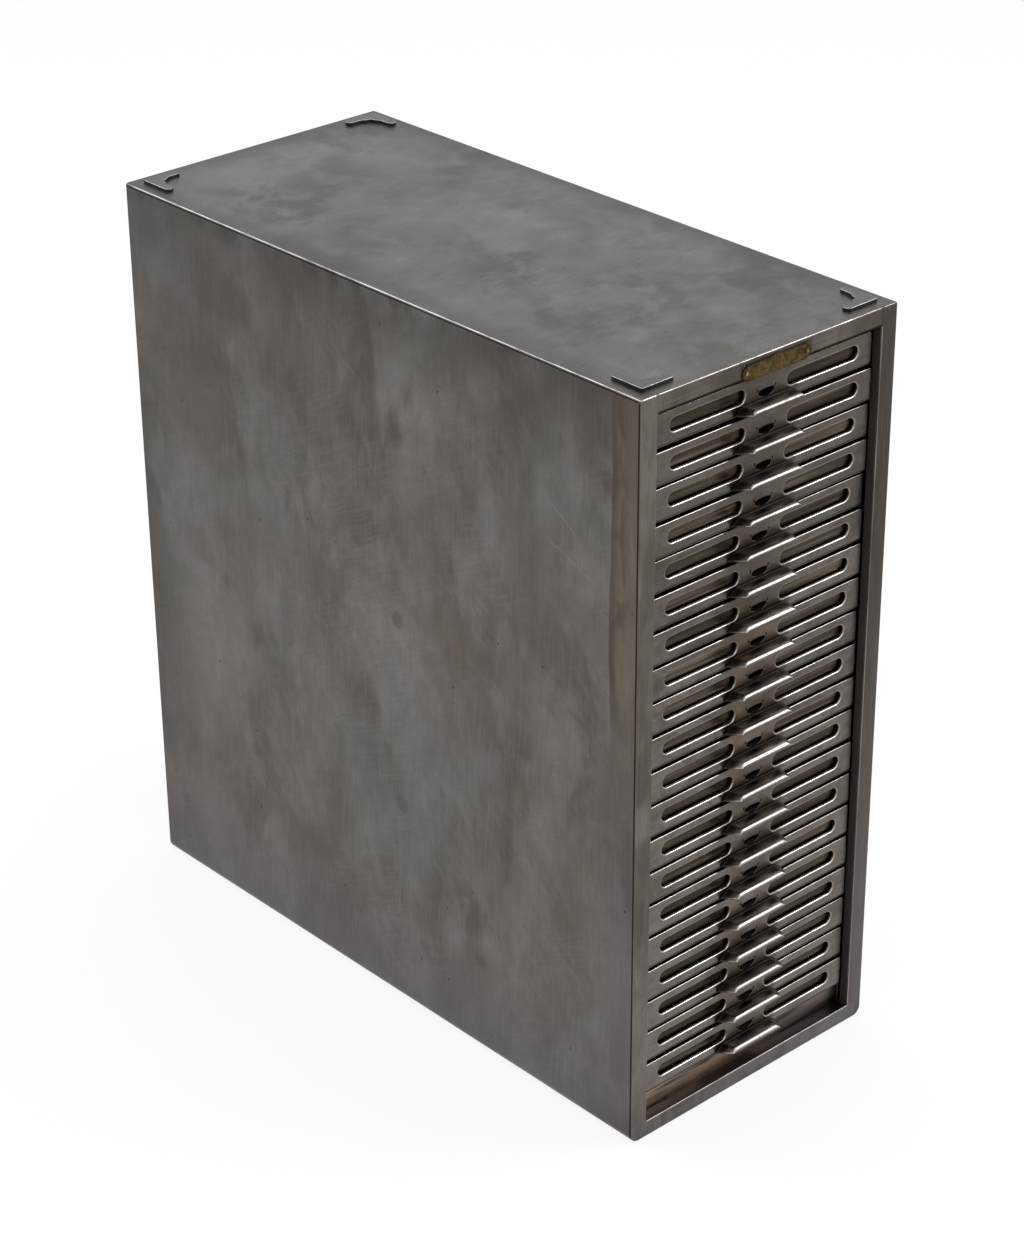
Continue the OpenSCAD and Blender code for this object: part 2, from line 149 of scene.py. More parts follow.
class FrontSizes(bpy.types.PropertyGroup):
    """Sizes of a drawer front, in millimetres."""

    sheet: length("Sheet", 1.2, "Thickness of the front")
    flange: length("Flange", 6.0, "Depth of the flange round the front")
    edge_r: length("Edge radius", 1.0, "Radius of the bend into the flange")
    window_length: length("Window length", 76.6, "Length of a label window")
    window_height: length("Window height", 11.2, "Height of a label window")
    window_top: length("Window drop", 6.8, "Distance from the top of the front to a window")
    window_inset: length("Window inset", 22.1, "Distance from the middle to the nearer end of a window")
    window_r: length("Window rim radius", 1.05, "Radius of the rolled rim of a window")
    window_depth: length("Window rim depth", 2.2, "Depth of the rolled rim of a window")
    catch_width: length("Catch width", 16.4, "Width of the hole above the pull")
    catch_drop: length("Catch drop", 13.1, "Distance from the top of the front to the hole's upper corners")
    catch_side: length("Catch side", 3.0, "Height of the hole's straight sides")
    catch_rise: length("Catch rise", 1.0, "Rise of the hole's upper edge")
    catch_fall: length("Catch fall", 2.6, "Fall of the hole's lower edge")
    slit_length: length("Slit length", 3.0, "Length of a relief slit")
    slit_width: length("Slit width", 1.2, "Width of a relief slit")
    pull_reach: length("Pull reach", 13.3, "How far the lip stands out")
    pull_top: length("Pull top", 48.0, "Width of the pull's level top")
    pull_lip: length("Pull lip", 53.0, "Width of the lip")
    root_top: length("Root top", 50.0, "Width of the pull's root at its top")
    root_bottom: length("Root bottom", 67.0, "Width of the pull's root at its bottom")
    root_height: length("Root height", 5.8, "Height of the pull's root")
    lip_height: length("Lip height", 3.7, "Height of the lip's lower edge")
    lip_r: length("Lip radius", 2.9, "Radius of the rolled lip")
    fillet_r: length("Root fillet", 1.3, "Radius where the pull meets the front")


class FittingSizes(bpy.types.PropertyGroup):
    """Sizes of the corner plates, nameplate and runners, in millimetres."""

    corner_r: length("Corner plate edge", 0.6, "Radius of a corner plate's upper edge")
    plate_r: length("Nameplate edge", 0.3, "Radius of the nameplate's edge")
    pin_r: length("Pin head", 1.8, "Radius of a nameplate pin's head")
    runner_opening: length("Runner opening", 4.0, "Height of a runner's opening")


class Finishes(bpy.types.PropertyGroup):
    """Base colours of the finishes."""

    top: colour("Top steel", (0.122, 0.122, 0.126), "Stripped steel of the top")
    side: colour("Side steel", (0.128, 0.116, 0.107), "Stripped steel of the sides")
    front: colour("Front steel", (0.111, 0.100, 0.090), "Steel of the drawer fronts")
    olive: colour("Olive cast", (0.118, 0.113, 0.098), "Olive patches in the steel")
    tray: colour("Tray steel", (0.070, 0.056, 0.039), "Bare steel of the trays")
    inner: colour("Inner steel", (0.075, 0.068, 0.06), "Unpolished steel inside the case")
    tarnish: colour("Tarnish", (0.086, 0.071, 0.060), "Brown tarnish in the steel")
    # the same colour also lays the painted highlights along bends, rims and lips
    bright: colour("Worn edge", (0.72, 0.71, 0.69), "Steel rubbed bright along the edges")
    brass: colour("Aged brass", (0.118, 0.077, 0.023), "Aged brass of the nameplate")
    pin: colour("Pin brass", (0.26, 0.20, 0.10), "Rubbed brass of the pins")


class StageSettings(bpy.types.PropertyGroup):
    """Floor, camera and light."""

    lens: length("Lens", 90.25, "Focal length of the camera in millimetres")
    key: power("Key light", 24.0, "Power of the large front light")
    top: power("Top light", 9.0, "Power of the light overhead")
    edge: power("Edge light", 16.0, "Power of the light behind")
    world: FloatProperty(name="World", description="Strength of the even light all round", default=0.85, min=0.0)
    paper: FloatProperty(
        name="Paper white", description="Share of plain white in the floor", default=0.86, min=0.0, max=1.0
    )


# ---------------------------------------------------------------- mesh tools


def arc(start, end, steps):
    """Angles in radians from start to end degrees."""
    return [math.radians(start + (end - start) * i / steps) for i in range(steps + 1)]


def quarter(r, steps):
    """A quarter bend between two sides: how far each point is from the first side, and from the second."""
    return [(r * (1 - math.cos(a)), r * (1 - math.sin(a))) for a in arc(0, 90, steps)]


def obround(centre, span, height, grow, turn=0.0, steps=10):
    """Closed outline with round ends, grown outwards by grow, as (x, z) points."""
    r = height / 2
    straight = span / 2 - r
    points = []
    for side in (1, -1):
        for a in arc(-90, 90, steps):
            points.append((side * (straight + (r + grow) * math.cos(a)), side * (r + grow) * math.sin(a)))
    c, s = math.cos(turn), math.sin(turn)
    return [(centre[0] + x * c - z * s, centre[1] + x * s + z * c) for x, z in points]


def rounded_box(half, low, high, r, inset, steps=4):
    """Rectangle with round corners, shrunk by inset, as (x, z) points counter-clockwise."""
    r = max(r - inset, 0.25)
    x, low, high = half - inset - r, low + inset + r, high - inset - r
    points = []
    for cx, cz, turn in ((x, low, -90), (x, high, 0), (-x, high, 90), (-x, low, 180)):
        points += [(cx + r * math.cos(a), cz + r * math.sin(a)) for a in arc(turn, turn + 90, steps)]
    return points


def grown(points, distance):
    """Moves each point of a closed counter-clockwise outline outwards by distance."""
    out = []
    n = len(points)
    for i, p in enumerate(points):
        before, after = Vector(points[i - 1]), Vector(points[(i + 1) % n])
        a, b = (Vector(p) - before).normalized(), (after - Vector(p)).normalized()
        normal = Vector((a.y + b.y, -a.x - b.x))
        normal = normal / max(normal.length, 1e-6)
        out.append((p[0] + normal.x * distance, p[1] + normal.y * distance))
    return out


def rounded_polygon(corners, steps=5):
    """Closed outline through corners given as (x, y, radius), with each corner rounded."""
    points = []
    n = len(corners)
    for i, (x, y, r) in enumerate(corners):
        p = Vector((x, y))
        a = (Vector(corners[i - 1][:2]) - p).normalized()
        b = (Vector(corners[(i + 1) % n][:2]) - p).normalized()
        half = math.acos(max(-1.0, min(1.0, a.dot(b)))) / 2
        cut = r / math.tan(half)
        centre = p + (a + b).normalized() * (r / math.sin(half))
        start, end = p + a * cut - centre, p + b * cut - centre
        turn = start.angle_signed(end)
        for k in range(steps + 1):
            points.append(tuple(centre + Matrix.Rotation(-turn * k / steps, 2) @ start))
    return points


class Sheet:
    """Collects points and faces of one piece, in millimetres."""

    def __init__(self):
        self.points, self.faces = [], []

    def loft(self, rows, closed=False, flip=False):
        """Joins rows of points, each as long as the others, with quads."""
        base = len(self.points)
        width = len(rows[0])
        for row in rows:
            self.points.extend(row)
        for i in range(len(rows) - 1):
            for j in range(width if closed else width - 1):
                a, b = base + i * width + j, base + i * width + (j + 1) % width
                quad = (a, b, b + width, a + width)
                self.faces.append(quad[::-1] if flip else quad)

    def fill(self, loops, place, flip=False):
        """Fills the region inside the first loop and outside the others; place turns (u, v) into a point."""
        verts, rings = [], []
        for loop in loops:
            rings.append(list(range(len(verts), len(verts) + len(loop))))
            verts.extend(Vector(p) for p in loop)
        flat, _, faces, _, _, origins = delaunay_2d_cdt(verts, [], rings, 1, 1e-6)
        base = len(self.points)
        self.points.extend(place(*p) for p in flat)
        for face, origin in zip(faces, origins):
            if list(origin) == [0]:
                face = tuple(base + i for i in face)
                self.faces.append(face[::-1] if flip else face)

    def mirror(self):
        """Adds the same sheet on the other side of x = 0."""
        base = len(self.points)
        self.points.extend((-x, y, z) for x, y, z in self.points[:])
        self.faces.extend(tuple(base + i for i in face[::-1]) for face in self.faces[:])

    def mesh(self, name, merge=0.002):
        """The sheet as a mesh in metres, with points that meet merged."""
        mesh = bpy.data.meshes.new(name)
        mesh.from_pydata([Vector(p) * MM for p in self.points], [], self.faces)
        bm = bmesh.new()
        bm.from_mesh(mesh)
        bmesh.ops.remove_doubles(bm, verts=bm.verts, dist=merge * MM)
        bmesh.ops.dissolve_degenerate(bm, edges=bm.edges, dist=merge * MM)
        loose = [v for v in bm.verts if not v.link_faces]
        bmesh.ops.delete(bm, geom=loose, context="VERTS")
        bm.to_mesh(mesh)
        bm.free()
        return mesh


def face_outwards(mesh):
    """Turns every face of a closed mesh to its outside."""
    bm = bmesh.new()
    bm.from_mesh(mesh)
    bmesh.ops.recalc_face_normals(bm, faces=bm.faces)
    bm.to_mesh(mesh)
    bm.free()


def mark_bends(mesh):
    """Stores how tightly each point is bent, outwards as rub and inwards as fold, from 0 to 1."""
    bm = bmesh.new()
    bm.from_mesh(mesh)
    layers = bm.verts.layers.float
    rub, fold = (layers.get(name) or layers.new(name) for name in ("rub", "fold"))
    for vert in bm.verts:
        out = deep = 0.0
        for edge in vert.link_edges:
            if len(edge.link_faces) == 2 and edge.calc_face_angle() < math.radians(50):
                width = sum(face.calc_area() for face in edge.link_faces) / max(2 * edge.calc_length(), 1e-9) / MM
                bend = edge.calc_face_angle_signed(0.0) / max(width, 0.05)
                out, deep = max(out, bend), max(deep, -bend)
        # from almost flat to a tight bend, in radians per millimetre
        for layer, tight in ((rub, out), (fold, deep)):
            vert[layer] = min(max((tight - 0.12) / 0.5, 0.0), 1.0)
    bm.to_mesh(mesh)
    bm.free()


def piece(name, mesh, material, sharp=38.0):
    """Puts a finished mesh in the scene, smooth but for its sharp edges."""
    if "rub" not in mesh.attributes:
        mark_bends(mesh)
    obj = bpy.data.objects.new(name, mesh)
    bpy.context.scene.collection.objects.link(obj)
    if material:
        mesh.materials.clear()
        mesh.materials.append(material)
    mesh.shade_smooth()
    mesh.set_sharp_from_angle(angle=math.radians(sharp))
    return obj


def settle(obj, name, material, sharp=38.0):
    """Turns an object with live modifiers into a plain piece, and removes the first object."""
    depsgraph = bpy.context.evaluated_depsgraph_get()
    depsgraph.update()
    mesh = bpy.data.meshes.new_from_object(obj.evaluated_get(depsgraph))
    mesh.name = name
    bpy.data.objects.remove(obj)
    return piece(name, mesh, material, sharp)


def thicken(mesh, name, material, wall, edge=0.0, sharp=38.0):
    """Gives an outer skin its wall, inwards, and eases the cut edges."""
    obj = bpy.data.objects.new(name + "_skin", mesh)
    bpy.context.scene.collection.objects.link(obj)
    solid = obj.modifiers.new("wall", "SOLIDIFY")
    solid.thickness = wall * MM
    solid.offset = -1.0
    solid.use_even_offset = True
    solid.use_quality_normals = True
    if edge:
        bevel = obj.modifiers.new("edge", "BEVEL")
        bevel.width = edge * MM
        bevel.segments = 2
        bevel.limit_method = "ANGLE"
        bevel.angle_limit = math.radians(60)
        bevel.use_clamp_overlap = True
    return settle(obj, name, material, sharp)


# ---------------------------------------------------------------- finishes

# weld marks on the sides: distance behind the face, and height
WELDS = ((271.5, 364), (143, 233), (271.5, 194), (463.5, 163), (177, 86.5))
# scratches on the sides: distance behind the face and height of one end, then of the other
SCRATCHES = ((94, 532, 62, 508), (98, 500, 38, 478))
# ring stain on the top: x and y in metres
RING_AT = (0.1, 0.262)

# linear colours that the finishes lay over their base colours
TOP_TARNISH = (0.086, 0.081, 0.070)
SIDE_PALE = (0.190, 0.176, 0.166)
TOP_PALE = (0.184, 0.187, 0.198)
SIDE_OLIVE = (0.112, 0.094, 0.078)
GREEN_GREY = (0.150, 0.156, 0.150)
PLUM = (0.128, 0.104, 0.090)
SIDE_SHADE = (0.090, 0.077, 0.067)
SIDE_LIGHT = (0.190, 0.176, 0.164)
SPECKLE = (0.080, 0.071, 0.062)
STROKE = (0.225, 0.214, 0.205)
RIM_DARK = (0.056, 0.049, 0.044)
EDGE_DIRT = (0.040, 0.034, 0.030)
VIOLET = (0.112, 0.099, 0.132)
TOE_DARK = (0.050, 0.042, 0.040)
STRIP_BROWN = (0.072, 0.053, 0.037)
STRIP_TAN = (0.146, 0.118, 0.088)
STRIP_PALE = (0.172, 0.141, 0.108)
STRIP_BORDER = (0.060, 0.043, 0.030)
WISP = (0.072, 0.057, 0.050)
FRAME_BROWN = (0.086, 0.068, 0.053)
FRAME_PALE = (0.186, 0.163, 0.140)
FRAME_DARK = (0.050, 0.040, 0.031)
FRAME_SHADE = (0.040, 0.030, 0.022)
FRAME_LIGHT = (0.215, 0.196, 0.182)
FRAME_BLOT = (0.078, 0.062, 0.050)
SILL_DARK = (0.070, 0.060, 0.064)
SILL_PALE = (0.142, 0.128, 0.140)
HEAT_GOLD = (0.37, 0.262, 0.172)
HEAT_DARK = (0.028, 0.021, 0.015)
WELD = (0.078, 0.072, 0.066)
RING = (0.05, 0.044, 0.038)
PIT = (0.028, 0.024, 0.021)
SCRATCH = (0.3, 0.29, 0.28)
GRAIN_DARK = (0.052, 0.044, 0.038)
GRIT = (0.075, 0.07, 0.065)
# dark of the seams, and of the painted shadow and dark reflection beside them
SEAM_AND_SHADE_DARK = (0.012, 0.010, 0.008)
# painted shade round the nameplate
HALO_SHADE = (0.024, 0.019, 0.016)
# dirt and painted shade in the folds of the case
DIRT_AND_SHADE = (0.030, 0.023, 0.018)
JAMB_DARK = (0.052, 0.039, 0.030)
# painted highlight on the jambs' bends
BEND_HIGHLIGHT = (0.40, 0.37, 0.34)
FRONT_PALE = (0.168, 0.150, 0.132)
MOTTLE_DARK = (0.068, 0.053, 0.041)
MOTTLE_PALE = (0.200, 0.186, 0.172)
PULL_BROWN = (0.060, 0.045, 0.034)
PULL_GOLD = (0.150, 0.104, 0.068)
LOW_LIGHT = (0.205, 0.182, 0.160)
HIGH_SHADE = (0.076, 0.063, 0.053)
# painted shadow of the gaps between the fronts
GAP_SHADOW = (0.014, 0.011, 0.009)
# painted shade at the pull's root
ROOT_SHADE = (0.034, 0.028, 0.024)
# painted highlight along the pull's crest, from dull to bright
CREST_DULL_SHEEN = (0.33, 0.315, 0.30)
CREST_HIGHLIGHT = (0.74, 0.73, 0.71)
SPOT = (0.03, 0.025, 0.02)
# warm colour of the wear and painted highlight on rims that face down
RIM_WARM = (0.30, 0.255, 0.205)
# dirt and painted shade in the folds of the fronts
FRONT_DIRT_AND_SHADE = (0.017, 0.013, 0.010)
# tan painted highlight on the window rims
WINDOW_TAN_HIGHLIGHT = (0.34, 0.255, 0.180)
TRAY_PALE = (0.145, 0.117, 0.086)
# dark streaks in the trays, and the painted shade on the lower ones
TRAY_STREAK_AND_SHADE = (0.022, 0.017, 0.010)
TRAY_TONE = (0.020, 0.016, 0.009)
# dirt and painted shade in the trays' corners
TRAY_DIRT_AND_SHADE = (0.020, 0.015, 0.009)
# painted shade behind the catch holes
HOLE_SHADE = (0.003, 0.0025, 0.002)
# painted shade on the corner plates' walls
PLATE_WALL_SHADE = (0.03, 0.026, 0.022)
# dirt and painted shade at the corner plates' foot
PLATE_DIRT_AND_SHADE = (0.018, 0.015, 0.012)
BRASS_STREAK = (0.03, 0.021, 0.009)
# painted shade on the sides of the brass
BRASS_SIDE_SHADE = (0.02, 0.014, 0.006)
# dirt and painted shade in the hollows of the brass
BRASS_DIRT_AND_SHADE = (0.014, 0.010, 0.005)
BRASS_DARK = (0.024, 0.016, 0.006)
PIN_RUBBED = (0.6, 0.5, 0.3)


def toned(base, share):
    """A colour made darker, or lighter where share is over 1."""
    return tuple(c * share for c in base)


class Value:
    """A number, vector or colour at each point of a surface; arithmetic on it adds nodes."""

    def __init__(self, owner, socket):
        self.owner, self.socket = owner, socket

    def __add__(self, other):
        return self.owner.calc("ADD", self, other)

    def __sub__(self, other):
        return self.owner.calc("SUBTRACT", self, other)

    def __rsub__(self, other):
        return self.owner.calc("SUBTRACT", other, self)

    def __mul__(self, other):
        return self.owner.calc("MULTIPLY", self, other)

    def __abs__(self):
        return self.owner.calc("ABSOLUTE", self)


class Graph:
    """A node tree under construction."""

    def __init__(self, tree):
        self.tree = tree

    def node(self, kind, output, inputs=(), **settings):
        """Adds a node with its settings and inputs, and returns one of its outputs."""
        node = self.tree.nodes.new(kind)
        for name, value in settings.items():
            setattr(node, name, value)
        for name, value in dict(inputs).items():
            self.put(node.inputs[name], value)
        return Value(self, node.outputs[output])

    def put(self, socket, value):
        """Joins a value to a socket, or sets the socket."""
        if isinstance(value, Value):
            self.tree.links.new(value.socket, socket)
        elif socket.type == "RGBA":
            socket.default_value = (*value, 1.0)
        else:
            socket.default_value = value

    def calc(self, operation, *values):
        """A sum on numbers, by its Math node's name."""
        return self.node("ShaderNodeMath", 0, enumerate(values), operation=operation)

    def most(self, first, *others):
        """The largest of some values."""
        for value in others:
            first = self.calc("MAXIMUM", first, value)
        return first

    def least(self, a, b):
        """The smaller of two values."""
        return self.calc("MINIMUM", a, b)


class Finish(Graph):
    """One metal finish under construction: short calls that add and join nodes."""

    def __init__(self, name):
        self.material = bpy.data.materials.new(name)
        self.material.use_nodes = True
        super().__init__(self.material.node_tree)
        self.shader = self.tree.nodes["Principled BSDF"]
        self.shader.inputs["Metallic"].default_value = 1.0
        self.place = self.node("ShaderNodeTexCoord", "Object")
        self.base = None

    # numbers

    def level(self, value, low, high, to_low=0.0, to_high=1.0, kind="SMOOTHSTEP"):
        """Maps low..high to to_low..to_high, held at both ends."""
        inputs = {"Value": value, "From Min": low, "From Max": high, "To Min": to_low, "To Max": to_high}
        return self.node("ShaderNodeMapRange", "Result", inputs, interpolation_type=kind, clamp=True)

    def band(self, value, start, full, fade, end):
        """Rises from 0 at start to 1 at full, and falls from fade to 0 at end."""
        return self.level(value, start, full) * self.level(value, end, fade)

    def between(self, share, a, b):
        """The number a where share is 0, and b where it is 1."""
        return self.node("ShaderNodeMix", 0, {0: share, 2: a, 3: b}, data_type="FLOAT")

    def mark(self, name):
        """A number stored on the mesh's points."""
        return self.node("ShaderNodeAttribute", "Fac", attribute_name=name)

    # vectors

    def vector(self, operation, output, *values):
        return self.node("ShaderNodeVectorMath", output, enumerate(values), operation=operation)

    def split(self, vector=None):
        """x, y and z of a vector, or else of the object coordinates."""
        socket = self.node("ShaderNodeSeparateXYZ", 0, {0: vector or self.place}).socket
        return [Value(self, output) for output in socket.node.outputs]

    def facing(self):
        """x, y and z of the surface normal."""
        return self.split(self.node("ShaderNodeNewGeometry", "Normal"))

    def stretch(self, scale, shift=(0, 0, 0), turn=(0, 0, 0), place=None):
        """Object coordinates, scaled, turned by degrees and shifted."""
        turn = tuple(math.radians(a) for a in turn)
        inputs = {"Vector": place or self.place, "Scale": scale, "Location": shift, "Rotation": turn}
        return self.node("ShaderNodeMapping", "Vector", inputs)

    # patterns

    def cloud(self, scale, shift=(0, 0, 0), detail=3.0, rough=0.55, warp=0.0, place=None):
        """Soft noise from 0 to 1, with one scale or with one for each axis."""
        if isinstance(scale, (tuple, list)):
            place, scale = self.stretch(scale, shift, place=place), 1.0
        inputs = {"Vector": place or self.place, "Scale": scale, "Detail": detail}
        return self.node("ShaderNodeTexNoise", "Fac", {**inputs, "Roughness": rough, "Distortion": warp})

    def cells(self, scale):
        """A scatter of points: the distance to the nearest one, and its own random colour."""
        near = self.node("ShaderNodeTexVoronoi", "Distance", {"Vector": self.place, "Scale": scale})
        return near, Value(self, near.socket.node.outputs["Color"])

    def brushed(self, axis, grain):
        """Fine brush marks along one axis."""
        scale = [grain] * 3
        scale[axis] = grain * 0.02
        return self.cloud(scale, detail=2.0, rough=0.6)

    def strokes(self, turn, shift):
        """Faint hand-rubbing strokes, in patches."""
        turned = self.stretch((1, 1, 1), shift, turn)
        fine = self.cloud((35, 35, 430), detail=2.0, rough=0.6, warp=0.3, place=turned)
        patch = self.cloud(11.0, detail=2.0, place=turned)
        return self.level(fine, 0.42, 0.78) * self.level(patch, 0.42, 0.62)

    def edge(self, radius):
        """1 along bends and edges, 0 on flat metal."""
        rounded = self.node("ShaderNodeBevel", 0, {"Radius": radius * MM}, samples=6)
        same = self.vector("DOT_PRODUCT", "Value", rounded, self.node("ShaderNodeNewGeometry", "Normal"))
        return self.level(1.0 - same, 0.04, 0.35)

    def hollow(self, distance, low, high):
        """1 deep in corners and gaps, 0 in the open."""
        light = self.node("ShaderNodeAmbientOcclusion", "AO", {"Distance": distance * MM}, samples=8)
        return self.level(light, low, high, 1.0, 0.0)

    # surface

    def mix(self, share, a, b):
        """The colour a where share is 0, and b where it is 1."""
        return self.node("ShaderNodeMix", 2, {0: share, 6: a, 7: b}, data_type="RGBA")

    def tint(self, share, paint):
        """Lays a colour over the base colour, as strongly as share says."""
        self.base = self.mix(share, self.base, paint)

    def bump(self, height, strength, distance, below=None):
        """Relief over the one below it, or over the bare surface."""
        inputs = {"Height": height, "Strength": strength, "Distance": distance * MM}
        return self.node("ShaderNodeBump", "Normal", {**inputs, "Normal": below} if below else inputs)

    def done(self, rough, relief):
        """Joins colour, roughness and relief to the shader, and returns the material."""
        for name, value in (("Base Color", self.base), ("Roughness", rough), ("Normal", relief)):
            self.put(self.shader.inputs[name], value)
        return self.material


class CasePlaces:
    """Where each point lies on the case, in metres or as a share, and the clouds that several marks share."""

    def __init__(self, f):
        self.x, self.y, self.z = f.split()
        self.wide = abs(self.x)
        self.deep = self.y - FACE_Y * MM
        self.tilt = f.facing()[2]
        self.up = f.level(self.tilt, 0.5, 0.9)
        self.flank = f.level(self.wide, SIDE_M - 0.0012, SIDE_M - 0.0004)
        self.face = f.level(self.deep, 0.001, 0.0004)
        # across the seams between stile and rail, and along them
        self.off = abs(self.wide - JAMB_M)
        self.ends = f.level(self.z, LINTEL_M - 0.002, LINTEL_M) * f.level(self.deep, 0.0018, 0.0012)
        self.smear = f.cloud((17, 17, 10), (3.4, 1.3, 2.2), 4.0, 0.6, 0.6)
        self.olive = f.cloud((12, 12, 10), (1, 6, 4), 4.0, 0.58, 0.5)
        self.small = f.cloud((60, 60, 42), (9, 2, 6), 3.0, 0.6)
        self.inner = f.cloud((60, 60, 22), (2, 7, 5), 4.0, 0.6, 0.5)
        self.patchy = f.cloud((14, 14, 9), (6, 1, 3), 3.0, 0.55, 0.3)


def case_clouds(f, at, colours):
    """Broad light and dark clouds, upright on the sides, and rubbing strokes."""
    brown = f.mix(at.up, colours.tarnish, TOP_TARNISH)
    pale = f.mix(at.up, SIDE_PALE, TOP_PALE)
    broad = f.cloud((7.5, 7.5, 6.0), detail=3.0, rough=0.5, warp=0.4)
    f.tint(f.level(broad, 0.38, 0.64, 0.0, 0.75), pale)
    f.tint(f.level(at.smear, 0.43, 0.63, 0.0, 1.0), brown)
    streak = f.cloud((34, 34, 15), (5, 8, 2), 3.0, 0.55, 0.4)
    f.tint(f.level(streak, 0.42, 0.7, 0.0, 0.7), pale)
    f.tint(f.level(at.olive, 0.44, 0.66, 0.0, 0.55), f.mix(at.up, SIDE_OLIVE, colours.olive))
    green = f.cloud((9, 9, 7), (4, 1, 7), 3.0, 0.5, 0.4)
    f.tint(f.level(green, 0.5, 0.68, 0.0, 0.5), GREEN_GREY)
    plum = f.cloud((10, 10, 8), (8, 3, 2), 3.0, 0.55, 0.5)
    f.tint(f.level(plum, 0.46, 0.62, 0.0, 0.58) * (1.0 - at.up), PLUM)
    drift = f.cloud((6.5, 6.5, 4.5), (7, 7, 1), 4.0, 0.6, 0.8)
    f.tint(f.level(drift, 0.51, 0.65, 0.0, 0.45) * (1.0 - at.up), SIDE_SHADE)
    f.tint(f.level(drift, 0.48, 0.35, 0.0, 0.42) * (1.0 - at.up), SIDE_LIGHT)
    f.tint(f.level(at.small, 0.35, 0.7, 0.0, 0.26), SPECKLE)
    for turn, shift in (((28, 0, 0), (1, 2, 3)), ((-38, 8, 0), (4, 5, 6)), ((86, 20, 0), (7, 3, 9))):
        f.tint(f.strokes(turn, shift) * 0.21, STROKE)


def case_shades(f, at):
    """Darker towards the upper and rear edges of the sides and round the rim of the top, violet near the foot."""
    top_dark = f.level(at.z, 0.545, 0.64, 0.0, 0.7)
    rear_dark = f.level(at.deep, 0.52, 0.605, 0.0, 0.62)
    far_dark = f.level(at.deep, 0.3, 0.52) * f.level(at.z, 0.34, 0.56, 0.0, 0.62)
    dark = f.most(top_dark, rear_dark, far_dark) * (1.0 - at.up)
    margin = f.least(SIDE_M - at.wide, REAR_Y * MM - at.y)
    margin += f.level(at.olive, 0.3, 0.7, -0.014, 0.014)
    rim = f.most(f.level(margin, 0.034, 0.004, 0.0, 0.62), f.level(at.deep, 0.012, 0.003, 0.0, 0.3))
    f.tint(f.most(dark, rim * at.up) * f.level(at.olive, 0.3, 0.6, 0.5, 1.0), RIM_DARK)
    lump = f.level(at.z, 0.622, 0.636) * f.level(f.cloud((1, 38, 20), detail=3.0), 0.5, 0.62)
    f.tint(lump * at.flank * 0.55, EDGE_DIRT)
    foot = f.most(f.level(at.z, 0.1, 0.0), f.level(at.deep, 0.05, 0.0) * f.level(at.z, 0.32, 0.12))
    foot *= f.level(at.smear, 0.3, 0.6, 0.5, 1.0)
    f.tint(foot * 0.55, VIOLET)
    toe = f.level(at.z, 0.05, 0.0) * f.level(at.deep, 0.07, 0.0)
    f.tint(toe * 0.6, TOE_DARK)


def case_strip(f, at):
    """Brown strip down the front of each side, with a firm rear border."""
    reach = f.level(f.cloud((1, 1, 10), (2, 2, 2), 2.0), 0.3, 0.7, 0.0265, 0.0305, "LINEAR")
    inside = f.level(at.deep - reach, 0.0008, -0.0006)
    strip = inside * f.level(at.z, 0.31, 0.42) * at.flank
    tint = f.mix(f.level(at.inner, 0.38, 0.64), STRIP_BROWN, STRIP_TAN)
    tint = f.mix(f.level(at.deep, 0.02, 0.008, 0.0, 0.4), tint, STRIP_PALE)
    border = f.level(abs(at.deep - reach), 0.0105, 0.0015, 0.0, 0.8)
    tint = f.mix(border, tint, STRIP_BORDER)
    f.tint(strip * 0.85, tint)
    wisp = f.level(at.deep, 0.024, 0.006) * f.level(at.inner, 0.4, 0.6)
    wisp *= f.level(at.z, 0.53, 0.6, 0.15, 1.0)
    f.tint(wisp * at.flank * 0.6, WISP)


def case_front(f, at):
    """The front frame is browner than the sides, most of all on the right."""
    warm = f.mix(f.level(at.patchy, 0.41, 0.59), FRAME_BROWN, FRAME_PALE)
    warm = f.mix(f.level(at.x, 0.1, 0.121, 0.0, 0.85), warm, FRAME_DARK)
    f.tint(at.face * 0.72, warm)
    f.tint(at.face * (f.level(at.x, 0.1, 0.121, 0.0, 0.38) * f.level(at.z, 0.24, 0.46, 0.2, 1.0)), FRAME_SHADE)
    f.tint(at.face * f.level(at.z, 0.34, 0.1, 0.0, 0.3), FRAME_LIGHT)
    f.tint(at.face * f.level(at.inner, 0.48, 0.64, 0.0, 0.42), FRAME_BLOT)
    sill = at.face * f.level(at.z, RAIL_TOP * MM + 0.002, RAIL_TOP * MM)
    f.tint(sill * 0.6, f.mix(f.level(at.inner, 0.4, 0.6), SILL_DARK, SILL_PALE))


def kick_heat(f, at):
    """Warm heat tint on the kick plate."""
    kick = f.band(at.deep, 0.01, 0.0115, 0.0148, 0.016)
    kick *= f.level(at.z, 0.045, 0.04) * f.level(at.wide, 0.118, 0.117)
    bands = f.cloud((12, 12, 105), (3, 3, 8), 3.0, 0.55, 0.4)
    gold = f.level(bands, 0.43, 0.57) * f.level(at.x, 0.04, -0.05, 0.3, 1.0)
    f.tint(kick * gold, HEAT_GOLD)
    f.tint(kick * f.level(bands, 0.48, 0.4, 0.0, 0.8), HEAT_DARK)


